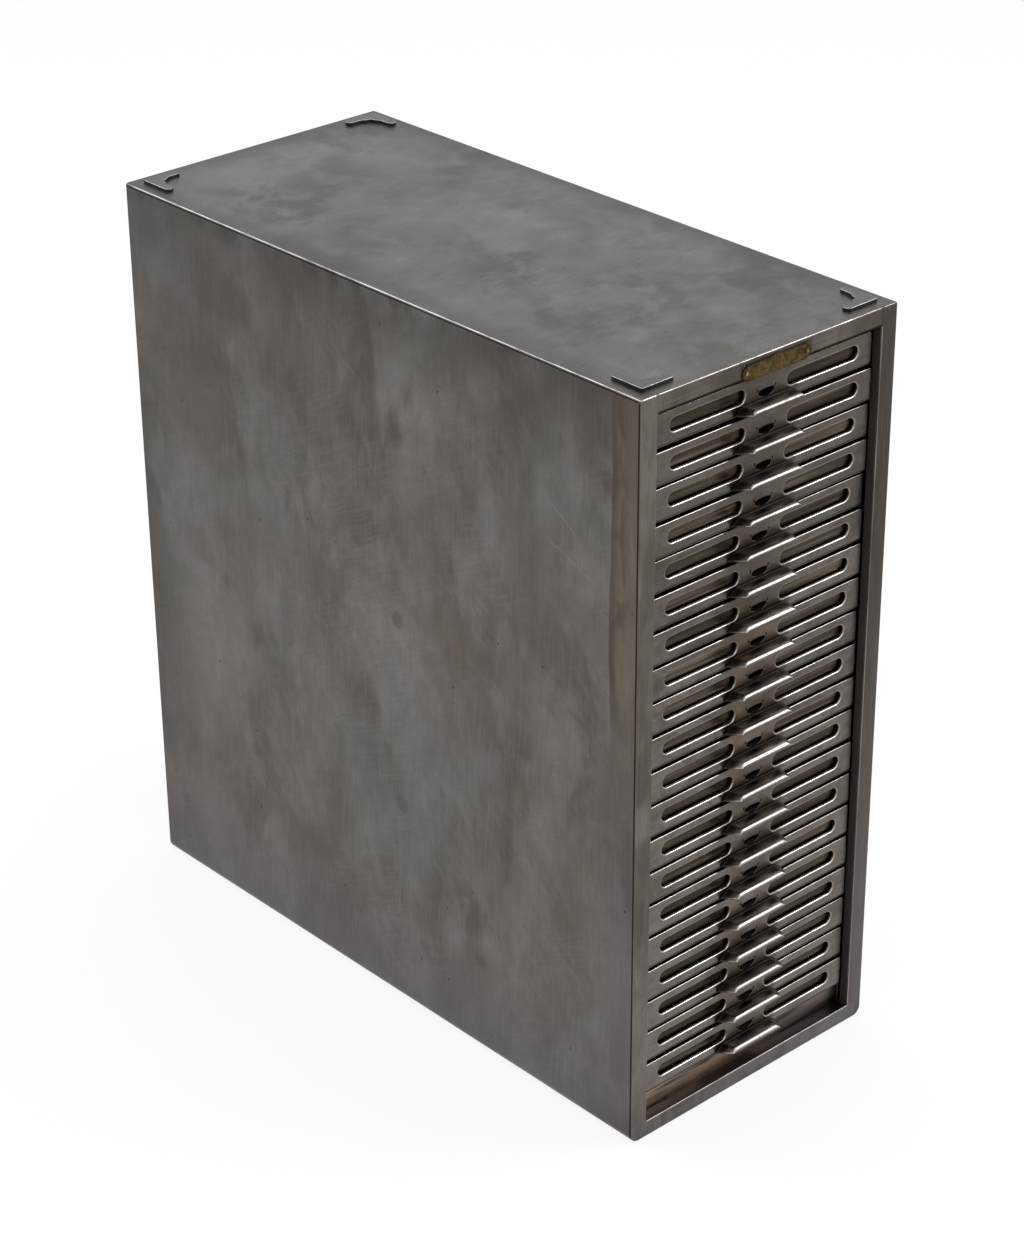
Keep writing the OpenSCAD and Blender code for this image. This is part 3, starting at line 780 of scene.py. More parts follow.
def case_welds(f, at):
    """Round weld marks over the posts, and a dark ring stain on the top, towards the rear right."""
    spots = []
    for back, height in WELDS:
        offset = f.vector("SUBTRACT", "Vector", f.place, (0.0, (FACE_Y + back) * MM, height * MM))
        far = f.vector("LENGTH", "Value", f.vector("MULTIPLY", "Vector", offset, (0, 1, 1)))
        spots.append(f.level(far + f.level(at.small, 0.3, 0.7, -0.002, 0.002), 0.0095, 0.006))
    marks = f.most(*spots) * at.flank
    f.tint(marks * f.level(at.small, 0.3, 0.7, 0.3, 0.75), WELD)
    far = f.vector("DISTANCE", "Value", f.place, (*RING_AT, CASE_TOP * MM))
    stain = f.level(far + f.level(at.small, 0.3, 0.7, -0.008, 0.008), 0.022, 0.006) * at.up
    f.tint(stain * 0.55, RING)
    return marks


def case_pits(f, at):
    """A sparse scatter of pits, and a crowd near the rear of the sides."""
    near, lot = f.cells(62.0)
    lot = f.split(lot)
    size = f.level(lot[1], 0.0, 1.0, 0.028, 0.078)
    rare = f.level(near - size, 0.015, -0.01) * f.level(lot[0], 0.72, 0.74)
    crowd = f.band(at.deep, 0.535, 0.552, 0.578, 0.592) * f.band(at.z, 0.39, 0.43, 0.5, 0.53) * at.flank
    crowd *= f.level(f.cells(260.0)[0], 0.3, 0.14) * f.level(at.small, 0.5, 0.6)
    pits = f.most(rare, crowd)
    f.tint(pits * 0.8, PIT)
    return pits


def case_scratches(f, at):
    """Two long fine scratches."""
    for start_y, start_z, end_y, end_z in SCRATCHES:
        run = math.hypot(end_y - start_y, end_z - start_z)
        dy, dz = (end_y - start_y) / run, (end_z - start_z) / run
        side = -(start_z * dy - start_y * dz) * MM
        across = f.calc("MULTIPLY_ADD", at.deep, -dz, f.calc("MULTIPLY_ADD", at.z, dy, side))
        past = -(start_y * dy + start_z * dz) * MM
        along = f.calc("MULTIPLY_ADD", at.deep, dy, f.calc("MULTIPLY_ADD", at.z, dz, past))
        across = abs(across + f.level(at.olive, 0.3, 0.7, -0.002, 0.002))
        line = f.level(across, 0.00055, 0.00015) * f.level(along, 0.0, 0.006)
        line *= f.level(along, run * MM, run * MM - 0.01) * at.flank
        f.tint(line * 0.35, SCRATCH)


def case_grain(f, at, colours):
    """Brush lines, along the rail and up the rest, and grit."""
    rail = at.face * f.level(at.wide, JAMB_M, JAMB_M - 0.0004)
    grain = f.between(rail, f.brushed(2, 800.0), f.brushed(0, 800.0))
    fine = f.cloud((1100, 1100, 700), (2, 2, 2), 2.0, 0.6)
    lined = f.level(at.face, 0.0, 1.0, 0.15, 0.32)
    f.tint(f.level(grain, 0.5, 0.74) * lined, toned(colours.side, 1.6))
    f.tint(f.level(grain, 0.5, 0.28) * lined, GRAIN_DARK)
    f.tint(f.level(fine, 0.35, 0.75, 0.0, 0.32), GRIT)
    return grain


def case_wear_and_highlights(f, at, colours):
    """Rubbed bright along bends and edges, with a painted highlight where they face half way up, but not at the
    butt seams.
    """
    wear_and_highlight = f.mark("rub") * f.level(f.cloud(45.0, detail=3.0), 0.3, 0.6, 0.35, 1.0)
    # painted highlight: the rubbed bends are brightest where they face half way up
    wear_and_highlight *= f.level(abs(at.tilt - 0.62), 0.2, 0.05, 0.12, 0.64)
    wear_and_highlight *= f.level(at.x, 0.08, JAMB_M, 1.0, 0.45)
    wear_and_highlight *= f.level(at.x, SIDE_M - 0.004, SIDE_M - 0.002, 1.0, 0.12)
    wear_and_highlight *= f.level(at.deep, 0.59, 0.6, 1.0, 0.1)
    upright = f.level(at.wide, SIDE_M - 0.004, SIDE_M - 0.003) * f.level(at.tilt, 0.2, 0.1)
    wear_and_highlight *= f.level(upright, 0.0, 1.0, 1.0, 0.3)
    upright = f.level(at.off, 0.0022, 0.0016) * at.ends
    seam = f.level(abs(at.z - (SEAM_M - 0.0007)), 0.0012, 0.0009)
    wear_and_highlight *= 1.0 - f.most(upright, seam)
    f.tint(wear_and_highlight * 0.9, colours.bright)
    return wear_and_highlight


def case_seams_and_shade(f, at):
    """Dark seams under the top and beside the rail, a painted dark reflection down the front edges, and a painted
    shadow of the gap under the rail.
    """
    line = f.level(abs(at.z - (SEAM_M - 0.0003)), 0.0007, 0.0003)
    line *= f.level(at.deep, 0.0018, 0.003)
    line = f.most(line, f.level(at.off, 0.0004, 0.00015) * at.ends * f.level(at.x, -0.05, 0.05, 0.3, 1.0))
    # painted dark reflection on each side, just behind the bend of the front edge
    corner = f.level(abs(at.deep - 0.002), 0.001, 0.0006)
    line = f.most(line, corner * at.flank * f.level(at.z, SEAM_M, SEAM_M - 0.002))
    # painted shadow of the hidden gap, along the rail's lower edge
    shade = f.level(at.z, LINTEL_M + 0.0022, LINTEL_M + 0.0017)
    shade *= f.level(at.wide, JAMB_M, JAMB_M - 0.001) * f.level(at.deep, 0.005, 0.004)
    line = f.most(line, shade * f.level(at.z, LINTEL_M - 0.002, LINTEL_M - 0.001))
    f.tint(line * 0.92, SEAM_AND_SHADE_DARK)
    return line


def case_dirt_and_shade(f, at):
    """Painted shade round the nameplate, dirt and painted shade in the folds, and dark jambs with a thin painted
    highlight down their bend.
    """
    plate_low, plate_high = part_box("nameplate")
    middle, reach = (plate_low + plate_high) / 2, (plate_high - plate_low) / 2
    past = f.most(abs(at.x - middle.x) - reach.x, abs(at.z - middle.z) - reach.z)
    past += f.level(at.inner, 0.3, 0.7, -0.0012, 0.0012)
    # painted shade hugging the nameplate
    halo = f.level(past, 0.0036, -0.001) * at.face
    f.tint(halo * 0.62, HALO_SHADE)
    jamb = f.level(at.off, 0.0015, 0.0012) * f.level(at.deep, 0.0012, 0.0016)
    jamb *= f.level(at.deep, 0.013, 0.012) * f.level(at.z, LINTEL_M + 0.002, LINTEL_M)
    # dirt and painted shade from ambient occlusion and the inward folds, less on the jambs
    dirt_and_shade = f.most(f.hollow(10.0, 0.2, 0.85), f.mark("fold") * 0.7)
    dirt_and_shade *= f.level(jamb, 0.0, 1.0, 0.72, 0.12)
    f.tint(dirt_and_shade, DIRT_AND_SHADE)
    f.tint(jamb * 0.6, JAMB_DARK)
    # painted highlight down the jamb's bend, where it turns sideways
    sideways = abs(f.facing()[0])
    turn = f.level(sideways, 0.3, 0.6) * f.level(at.wide - JAMB_M, 0.003, 0.0022)
    turn *= f.level(at.deep, 0.002, 0.0014) * f.level(at.patchy, 0.35, 0.6, 0.3, 1.0)
    f.tint(turn * 0.5, BEND_HIGHLIGHT)
    return jamb


def case_finish(colours):
    """Stripped, rubbed and lacquered sheet: brown clouds over grey, pits, scratches, weld marks, bright edges."""
    f = Finish("case_steel")
    at = CasePlaces(f)
    f.base = f.mix(at.up, colours.side, colours.top)
    case_clouds(f, at, colours)
    case_shades(f, at)
    case_strip(f, at)
    case_front(f, at)
    kick_heat(f, at)
    marks = case_welds(f, at)
    pits = case_pits(f, at)
    case_scratches(f, at)
    grain = case_grain(f, at, colours)
    wear_and_highlight = case_wear_and_highlights(f, at, colours)
    line = case_seams_and_shade(f, at)
    jamb = case_dirt_and_shade(f, at)
    rough = f.level(f.cloud((7, 7, 4), (1, 4, 2), 4.0), 0.3, 0.7, 0.3, 0.46) - wear_and_highlight * 0.1
    swell = f.bump(f.cloud(7.0, detail=1.0), 0.25, 8.0)
    lines = f.bump(grain, 0.08, 0.05, swell)
    dents = f.bump(1.0 - f.most(pits, marks * 0.4), 0.4, 0.2, lines)
    # dirt in the seams, the painted shadow under the rail, the painted dark reflection down the front edges and
    # tarnish on the jambs reflect less than the bare metal
    dull = f.most(line * 0.95, jamb * 0.5)
    f.put(f.shader.inputs["Metallic"], 1.0 - dull)
    f.put(f.shader.inputs["Specular IOR Level"], 0.0)
    return f.done(rough, dents)


def front_finish(colours):
    """Rubbed steel of the drawer fronts: bright rims and lips with painted highlights, brown tints, painted shade
    in the gaps and at the pull's root, and dirt and painted shade in every fold.
    """
    f = Finish("front_steel")
    x, y, z = f.split()
    wide = abs(x)
    tilt, rise, reach = f.facing()[2], f.mark("rise"), f.mark("reach")
    blot = f.cloud((22, 10, 34), (4, 0, 2), 4.0, 0.6, 0.8)
    f.base = f.mix(f.level(blot, 0.42, 0.62, 0.0, 0.9), colours.front, toned(colours.tarnish, 0.85))
    row = f.cloud((7, 2, 30), (9, 3, 1), 2.0, 0.5)
    f.tint(f.level(row, 0.4, 0.6, 0.0, 0.7), FRONT_PALE)
    mottle = f.cloud((75, 30, 110), (3, 7, 5), 4.0, 0.65, 0.6)
    f.tint(f.level(mottle, 0.46, 0.66, 0.0, 0.65), MOTTLE_DARK)
    f.tint(f.level(mottle, 0.46, 0.32, 0.0, 0.45), MOTTLE_PALE)
    near = f.level(wide, 0.046, 0.016)
    f.tint(near * f.level(blot, 0.36, 0.56, 0.15, 0.6), PULL_BROWN)
    gold = f.level(f.cloud((24, 8, 13), (2, 6, 8), 3.0), 0.46, 0.64)
    f.tint(near * gold * 0.45, PULL_GOLD)
    f.tint(f.level(z, 0.4, 0.1, 0.0, 0.28), LOW_LIGHT)
    f.tint(f.level(z, 0.34, 0.56, 0.0, 0.52), HIGH_SHADE)
    # painted shadow of the gap, along each front's lower bend
    f.tint(f.level(rise, 2.5, 1.7, 0.0, 0.92), GAP_SHADOW)
    # the pull: painted shade at its root, a painted highlight along its crest, more so on the lower drawers
    out = f.level(reach, 1.2, 2.5)
    pull = f.level(rise, 9.2, 8.0) * f.level(wide, 0.0385, 0.0305)
    root = f.band(reach, -1.0, -0.2, 1.0, 6.5) * (pull * f.level(rise, 4.6, 5.8))
    f.tint(root * 0.72, ROOT_SHADE)
    crest = f.level(reach, 6.5, 11.0) * f.level(tilt, 0.3, 0.62) * f.level(z, 0.52, 0.36, 0.45, 1.0)
    crest_sheen = f.level(f.cloud((2, 2, 23), (5, 5, 9), 1.0), 0.5, 0.62)
    f.tint(crest * 0.8, f.mix(crest_sheen, CREST_DULL_SHEEN, CREST_HIGHLIGHT))
    across = f.cloud((430, 30, 30), detail=2.0, rough=0.6)
    grain = f.between(out, f.brushed(0, 1300.0), across)
    f.tint(f.level(grain, 0.3, 0.72, 0.0, 0.22), toned(colours.front, 1.8))
    spots = f.level(f.cells(190.0)[0], 0.14, 0.05) * f.level(blot, 0.5, 0.6)
    f.tint(spots * 0.6, SPOT)
    # rubbed bright, with a painted highlight: window rims where they face up, the upper bend and the lip only along
    # their middle
    middle = f.level(abs(tilt - 0.66), 0.26, 0.08)
    share = f.level(tilt, 0.12, 0.58, 0.28, 0.9)
    crown = f.level(rise, FRONT_HEIGHT - 3.2, FRONT_HEIGHT - 2.4)
    thin = f.between(f.most(crown, out), share, middle * f.level(out, 0.0, 1.0, 0.52, 0.8))
    wear_and_highlight = f.mark("rub") * f.level(f.cloud(70.0, detail=3.0), 0.2, 0.55, 0.45, 1.0)
    wear_and_highlight *= thin
    wear_and_highlight *= f.level(out * f.level(across, 0.6, 0.4), 0.0, 1.0, 1.0, 0.3)
    wear_and_highlight *= 1.0 - pull * f.level(reach, 2.4, 1.2)
    # dirt and painted shade in the hollows and inward folds, less where the metal is rubbed bright
    dirt_and_shade = f.most(f.hollow(12.0, 0.2, 0.92), f.mark("fold") * 0.75)
    dirt_and_shade *= 1.0 - wear_and_highlight * 0.8
    # lay the wear and painted highlight, warm where a rim faces down
    f.tint(wear_and_highlight, f.mix(f.level(tilt, 0.0, 0.3), RIM_WARM, colours.bright))
    f.tint(dirt_and_shade * 0.88, FRONT_DIRT_AND_SHADE)
    # painted tan highlight on the window rims' bends where they face down or sideways
    pane = f.band(rise, 7.4, 8.2, 21.0, 21.8)
    pane *= f.level(wide, 0.0185, 0.02) * f.level(reach, 0.6, 0.2)
    outline = pane * f.mark("rub") * f.level(tilt, 0.3, 0.0)
    f.tint(outline * f.level(blot, 0.35, 0.6, 0.3, 0.75), WINDOW_TAN_HIGHLIGHT)
    rough = f.level(blot, 0.3, 0.7, 0.26, 0.4) - wear_and_highlight * 0.06
    swell = f.bump(f.cloud(30.0, detail=1.0), 0.25, 1.6)
    lines = f.bump(grain, f.level(out, 0.0, 1.0, 0.22, 0.8), 0.07, swell)
    return f.done(rough, lines)


def tray_finish(colours):
    """Thin olive-brown metal of the trays."""
    f = Finish("tray_steel")
    blot = f.cloud((12, 12, 30), detail=4.0, rough=0.6, warp=0.5)
    f.base = f.mix(f.level(blot, 0.35, 0.7), colours.tray, toned(colours.tarnish, 0.55))
    bands = f.cloud((7, 7, 330), (2, 4, 1), 3.0, 0.6)
    f.tint(f.level(bands, 0.48, 0.62, 0.0, 0.75), TRAY_PALE)
    f.tint(f.level(bands, 0.48, 0.36, 0.0, 0.5), TRAY_STREAK_AND_SHADE)
    tone = f.cloud((3, 3, 32), (6, 2, 2), 1.0)
    f.tint(f.level(tone, 0.42, 0.64, 0.0, 0.6), TRAY_TONE)
    # painted shade: the lower trays darker
    f.tint(f.level(f.split()[2], 0.42, 0.18, 0.0, 0.5), TRAY_STREAK_AND_SHADE)
    # dirt and painted shade in the tray's corners
    dirt_and_shade = f.hollow(6.0, 0.05, 0.7)
    f.tint(dirt_and_shade * 0.5, TRAY_DIRT_AND_SHADE)
    # painted shade: near black on the front-facing walls behind the catch hole and its slits
    behind = f.level(f.facing()[1], -0.5, -0.9) * f.level(abs(f.split()[0]), 0.019, 0.014)
    f.tint(behind * 0.95, HOLE_SHADE)
    rough = f.level(blot, 0.3, 0.7, 0.26, 0.4)
    swell = f.bump(f.cloud(18.0, detail=1.0), 0.05, 1.2)
    return f.done(rough, swell)


def inner_finish(colours):
    """Dull steel inside the case."""
    f = Finish("inner_steel")
    blot = f.cloud(18.0, detail=5.0, rough=0.62, warp=0.4)
    f.base = f.mix(f.level(blot, 0.35, 0.7), colours.inner, colours.tarnish)
    f.tint(f.edge(1.2) * 0.4, colours.bright)
    return f.done(f.level(blot, 0.3, 0.7, 0.42, 0.6), f.bump(blot, 0.1, 0.3))


def plate_finish(colours):
    """Corner plates: the steel of the top, with rubbed upper edges under a painted highlight, painted shade on the
    walls, and dirt and painted shade at their foot.
    """
    f = Finish("corner_steel")
    blot = f.cloud(60.0, detail=4.0, rough=0.6, warp=0.4)
    f.base = f.mix(f.level(blot, 0.35, 0.7), toned(colours.top, 0.95), colours.olive)
    up = f.facing()[2]
    # painted shade on the walls, which face sideways
    f.tint(f.level(up, 0.5, 0.1, 0.0, 0.75), PLATE_WALL_SHADE)
    # wear with a painted highlight, where the rounded upper edge faces half way up
    wear_and_highlight = f.level(abs(up - 0.75), 0.23, 0.12) * f.level(f.cloud(120.0, detail=3.0), 0.3, 0.6, 0.3, 0.8)
    f.tint(wear_and_highlight * 0.7, colours.bright)
    # dirt and painted shade where the plate meets the top
    dirt_and_shade = f.hollow(4.0, 0.2, 0.8)
    f.tint(dirt_and_shade * 0.85, PLATE_DIRT_AND_SHADE)
    return f.done(f.level(blot, 0.3, 0.7, 0.3, 0.42), f.bump(blot, 0.15, 0.2))


def brass_finish(name, base_colour, rubbed, dark):
    """Aged brass, with painted shade on its sides; the colour along its edges is given by the caller."""
    f = Finish(name)
    blot = f.cloud(160.0, detail=5.0, rough=0.72, warp=0.6)
    f.base = f.mix(f.level(blot, 0.4, 0.62), base_colour, toned(base_colour, 0.4))
    rows = f.cloud((330, 200, 1700), (1, 2, 3), 3.0, 0.7)
    f.tint(f.level(rows, 0.5, 0.62, 0.0, dark), BRASS_STREAK)
    f.tint(f.level(f.mark("rub"), 0.05, 0.5, 0.0, 0.85), rubbed)
    # painted shade on the sides, which do not face forward
    f.tint(f.level(abs(f.facing()[1]), 0.9, 0.6, 0.0, dark), BRASS_SIDE_SHADE)
    # dirt and painted shade in the hollows
    dirt_and_shade = f.hollow(2.0, 0.2, 0.85)
    f.tint(dirt_and_shade * 0.85, BRASS_DIRT_AND_SHADE)
    return f.done(f.level(blot, 0.3, 0.7, 0.32, 0.5), f.bump(rows, 0.35, 0.12))


FINISHES = {}


def finish(name):
    """Makes each finish once."""
    if not FINISHES:
        colours = bpy.context.scene.cabinet_finishes
        FINISHES.update(
            case=case_finish(colours),
            front=front_finish(colours),
            tray=tray_finish(colours),
            inner=inner_finish(colours),
            corner=plate_finish(colours),
            brass=brass_finish("plate_brass", colours.brass, BRASS_DARK, 0.75),
            pin=brass_finish("pin_brass", colours.pin, PIN_RUBBED, 0.2),
        )
    return FINISHES[name]


# ---------------------------------------------------------------- case


def round_bend(cx, cz, r, start, end, steps):
    """Points round one bend of an outline, each with its outward direction."""
    return [(cx + r * math.cos(a), cz + r * math.sin(a), math.cos(a), math.sin(a)) for a in arc(start, end, steps)]


def outline_right(sizes):
    """Right half of the case's outline, down from the top seam to the middle: (x, z, outward x, outward z)."""
    r = sizes.bottom_r
    cx = HALF_WIDTH - r
    points = [(HALF_WIDTH, z, 1, 0) for z in (SEAM_Z, OPENING_TOP, *SIDE_LINES, RAIL_TOP, r + STRIP)]
    points += round_bend(cx, r, r, 0, -90, 8)
    level = (cx - STRIP, OPENING_HALF + sizes.jamb_r, OPENING_HALF, OPENING_HALF / 2, 0)
    return points + [(x, 0, 0, -1) for x in level]


def outline_top(sizes):
    """Right half of the top's outline, from the side seam to the middle."""
    r = sizes.top_r
    cx = HALF_WIDTH - r
    level = (cx - STRIP, HALF_WIDTH - sizes.rim, OPENING_HALF, OPENING_HALF / 2, 0)
    return round_bend(cx, SEAM_Z, r, 0, 90, 6) + [(x, CASE_TOP, 0, 1) for x in level]


def skin_row(point, r):
    """From the front bend back round the rear bend, at one point of the outline."""
    x, z, nx, nz = point
    row = [(x, y, z) for y in (FACE_Y + r, FACE_Y + r + STRIP, REAR_Y - r - STRIP)]
    row += [(x - nx * a, REAR_Y - b, z - nz * a) for a, b in quarter(r, 5)]
    return row + [(x - nx * (r + STRIP), REAR_Y, z - nz * (r + STRIP))]


def front_row(point, r):
    """From the front bend onto the front frame, at one point of the outline."""
    x, z, nx, nz = point
    row = [(x - nx * a, FACE_Y + b, z - nz * a) for a, b in quarter(r, 5)]
    return row + [(x - nx * (r + STRIP), FACE_Y, z - nz * (r + STRIP))]


class CABINET_OT_case_wrapper(bpy.types.Operator):
    """Bends the sides and bottom from one sheet, with the stiles, jambs and rear rim"""

    bl_idname = "cabinet.case_wrapper"
    bl_label = "Case wrapper"

    def execute(self, context):
        sizes = context.scene.cabinet_case
        rim_x, rim_z = HALF_WIDTH - sizes.rim, sizes.rim
        edge, r = sizes.frame_r, sizes.jamb_r
        sheet = Sheet()
        outline = outline_right(sizes)
        sheet.loft([skin_row(p, edge) + [(min(rim_x, p[0]), REAR_Y, max(p[1], rim_z))] for p in outline], flip=True)
        # stile: from the outline in to the bend of the jamb, with a fan at the foot
        bend_x = OPENING_HALF + r
        stile = [p for p in outline if p[0] >= bend_x]
        foot = [p for p in stile if p[1] < RAIL_TOP]
        inner = [(bend_x, p[1]) for p in stile if p[1] >= RAIL_TOP]
        low = edge + STRIP
        inner += [(bend_x, low + (RAIL_TOP - low) * (1 - (i + 1) / len(foot))) for i in range(len(foot))]
        sheet.loft([front_row(p, edge) + [(x, FACE_Y, z)] for p, (x, z) in zip(stile, inner)])
        ends = [p for p in outline if p[1] == 0 and OPENING_HALF <= p[0] <= bend_x]
        sheet.loft([front_row(p, edge) for p in ends])
        for low, high in ((0, RAIL_TOP), (OPENING_TOP, SEAM_Z)):
            sheet.loft([[(x, FACE_Y, z) for x in (bend_x, OPENING_HALF)] for _, z in inner if low <= z <= high])
        jamb = [(OPENING_HALF + b, FACE_Y + a) for a, b in quarter(r, 4)]
        jamb += [(OPENING_HALF, FACE_Y + r + STRIP), (OPENING_HALF, FACE_Y + sizes.jamb)]
        sheet.loft([[(x, y, z) for x, y in jamb] for _, z in inner if RAIL_TOP <= z <= OPENING_TOP])
        sheet.mirror()
        obj = thicken(sheet.mesh("case_wrapper_skin"), "case_sheet", finish("case"), sizes.sheet - HAIR)
        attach(obj, "cabinet")
        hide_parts("case_wrapper")
        return {"FINISHED"}


class CABINET_OT_top_panel(bpy.types.Operator):
    """Folds the top down into the top rail and the rear rim"""

    bl_idname = "cabinet.top_panel"
    bl_label = "Top panel"

    def execute(self, context):
        sizes = context.scene.cabinet_case
        rim_x, rim_z = HALF_WIDTH - sizes.rim, CASE_TOP - sizes.rim
        edge, r = sizes.frame_r, sizes.jamb_r
        centre = HALF_WIDTH - sizes.top_r
        sheet = Sheet()
        outline = outline_top(sizes)
        sheet.loft([skin_row(p, edge) + [(min(p[0], centre), REAR_Y, SEAM_Z)] for p in outline])
        sheet.loft([[(p[0], REAR_Y, z) for z in (SEAM_Z, rim_z)] for p in outline if p[0] <= rim_x])
        sheet.loft([front_row(p, edge) + [(min(p[0], centre), FACE_Y, SEAM_Z)] for p in outline], flip=True)
        fold = [(FACE_Y, SEAM_Z), (FACE_Y, OPENING_TOP + r + STRIP)]
        fold += [(FACE_Y + a, OPENING_TOP + b) for a, b in quarter(r, 4)]
        fold += [(FACE_Y + r + STRIP, OPENING_TOP), (FACE_Y + sizes.jamb, OPENING_TOP)]
        sheet.loft([[(p[0], y, z) for y, z in fold] for p in outline if p[0] <= OPENING_HALF], flip=True)
        sheet.mirror()
        obj = thicken(sheet.mesh("top_skin"), "top_sheet", finish("case"), sizes.sheet - HAIR)
        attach(obj, "cabinet")
        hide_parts("top_panel")
        return {"FINISHED"}


class CABINET_OT_lower_rails(bpy.types.Operator):
    """Folds the bottom rail and the kick plate behind it"""

    bl_idname = "cabinet.lower_rails"
    bl_label = "Bottom rail and kick plate"

    def execute(self, context):
        sizes = context.scene.cabinet_case
        r, low = sizes.jamb_r, sizes.frame_r
        half = OPENING_HALF - RAIL_GAP
        rail_foot = [(FACE_Y, low + STRIP)] + [(FACE_Y + a, b) for a, b in quarter(low, 4)]
        kick_foot = [(KICK_LOW.y, KICK_LOW.z)]
        rail_ends, kick_ends = ((-half, -half + 0.5), (half - 0.5, half)), ((KICK_LOW.x,), (KICK_HIGH.x,))
        for node, name, front, rear, top, foot, (left, right) in (
            ("bottom_rail", "bottom_rail_sheet", FACE_Y, KICK_LOW.y, RAIL_TOP, rail_foot, rail_ends),
            ("kick_plate", "kick_sheet", KICK_LOW.y, KICK_HIGH.y, KICK_HIGH.z, kick_foot, kick_ends),
        ):
            profile = [(rear, top), (front + r + STRIP, top)]
            profile += [(front + b, top - a) for a, b in quarter(r, 4)]
            profile += [(front, top - r - STRIP), *foot]
            sheet = Sheet()
            sheet.loft([[(x, y, z) for y, z in profile] for x in (*left, *RAIL_LINES, *right)])
            obj = thicken(sheet.mesh(node + "_skin"), name, finish("case"), sizes.sheet - HAIR)
            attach(obj, "cabinet")
            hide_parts(node)
        return {"FINISHED"}


class CABINET_OT_carcass(bpy.types.Operator):
    """Finishes the back panel, the posts and the trays, whose solids already have the right shape"""

    bl_idname = "cabinet.carcass"
    bl_label = "Back, posts and trays"

    def execute(self, context):
        for name, obj in frame["nodes"].items():
            if name.endswith("_tray"):
                material = finish("tray")
            elif name.startswith("post_"):
                material = finish("inner")
            elif name == "back_panel":
                material = finish("case")
            else:
                continue
            for slot in obj.material_slots:
                slot.material = material
            if not obj.material_slots:
                obj.data.materials.append(material)
        return {"FINISHED"}


# ---------------------------------------------------------------- runners and pins, repeated by Geometry Nodes


def repeat_tree(name):
    """A node tree that copies its mesh along a line: inputs Count, Step and Finish."""
    tree = bpy.data.node_groups.new(name, "GeometryNodeTree")
    inputs = {"Piece": "Geometry", "Count": "Int", "Step": "Vector", "Finish": "Material"}
    for socket, kind in inputs.items():
        tree.interface.new_socket(socket, in_out="INPUT", socket_type="NodeSocket" + kind)
    tree.interface.new_socket("Pieces", in_out="OUTPUT", socket_type="NodeSocketGeometry")
    kinds = ("MeshLine", "InstanceOnPoints", "RealizeInstances", "SetMaterial")
    line, copy, real, paint = (tree.nodes.new("GeometryNode" + kind) for kind in kinds)
    given, result = tree.nodes.new("NodeGroupInput"), tree.nodes.new("NodeGroupOutput")
    line.mode = "OFFSET"
    line.count_mode = "TOTAL"
    line.inputs["Start Location"].default_value = (0, 0, 0)
    for source, output, target, socket in (
        (given, "Count", line, "Count"),
        (given, "Step", line, "Offset"),
        (line, "Mesh", copy, "Points"),
        (given, "Piece", copy, "Instance"),
        (copy, "Instances", real, "Geometry"),
        (real, "Geometry", paint, "Geometry"),
        (given, "Finish", paint, "Material"),
        (paint, "Geometry", result, "Pieces"),
    ):
        tree.links.new(source.outputs[output], target.inputs[socket])
    return tree


def repeated(mesh, name, tree, count, step, material):
    """Runs the tree on a mesh and returns the plain piece that it makes."""
    obj = bpy.data.objects.new(name + "_one", mesh)
    bpy.context.scene.collection.objects.link(obj)
    modifier = obj.modifiers.new("repeat", "NODES")
    modifier.node_group = tree
    sockets = {s.name: s.identifier for s in tree.interface.items_tree if s.in_out == "INPUT"}
    modifier[sockets["Count"]] = count
    modifier[sockets["Step"]] = step
    modifier[sockets["Finish"]] = material
    obj.update_tag()
    return settle(obj, name, material)


class CABINET_OT_runners(bpy.types.Operator):
    """Folds one C-section runner and repeats it up each side"""

    bl_idname = "cabinet.runners"
    bl_label = "Runners"

    def execute(self, context):
        opening = context.scene.cabinet_fittings.runner_opening
        wall = context.scene.cabinet_case.sheet
        count = len(DRAWERS)
        tree = repeat_tree("runner_stack")
        for side, node in ((-1, "runners_left"), (1, "runners_right")):
            low, high = (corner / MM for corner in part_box(node))
            pitch = (high.z - low.z - opening - 2 * wall) / (count - 1)
            leg, web = (low.x, high.x) if side > 0 else (high.x, low.x)
            roof = low.z + opening + 2 * wall
            bend = [(web - side * b, low.z + a) for a, b in quarter(RUNNER_BEND, 3)]
            profile = [(leg, low.z)] + bend + [(x, roof - (z - low.z)) for x, z in reversed(bend)] + [(leg, roof)]
            sheet = Sheet()
            ys = (low.y, low.y + 0.5, *RUNNER_LINES, high.y - 0.5, high.y)
            sheet.loft([[(x, y, z) for x, z in profile] for y in ys], flip=side < 0)
            # stops: at the front folded down from the upper leg, at the rear over the whole height
            drop = roof - wall - (opening - TRAY_FLANGE) * STOP_SHARE
            inner = web - side * wall
            sheet.loft([[(leg, low.y, z), (inner, low.y, z)] for z in (drop, roof)], flip=side < 0)
            sheet.loft([[(leg, high.y, z), (inner, high.y, z)] for z in (low.z, roof)], flip=side > 0)
            one = thicken(sheet.mesh(node + "_skin"), node + "_one", finish("inner"), wall - HAIR)
            mesh = one.data
            bpy.data.objects.remove(one)
            obj = repeated(mesh, node + "_stack", tree, count, (0, 0, pitch * MM), finish("inner"))
            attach(obj, "cabinet")
            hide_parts(node)
        return {"FINISHED"}


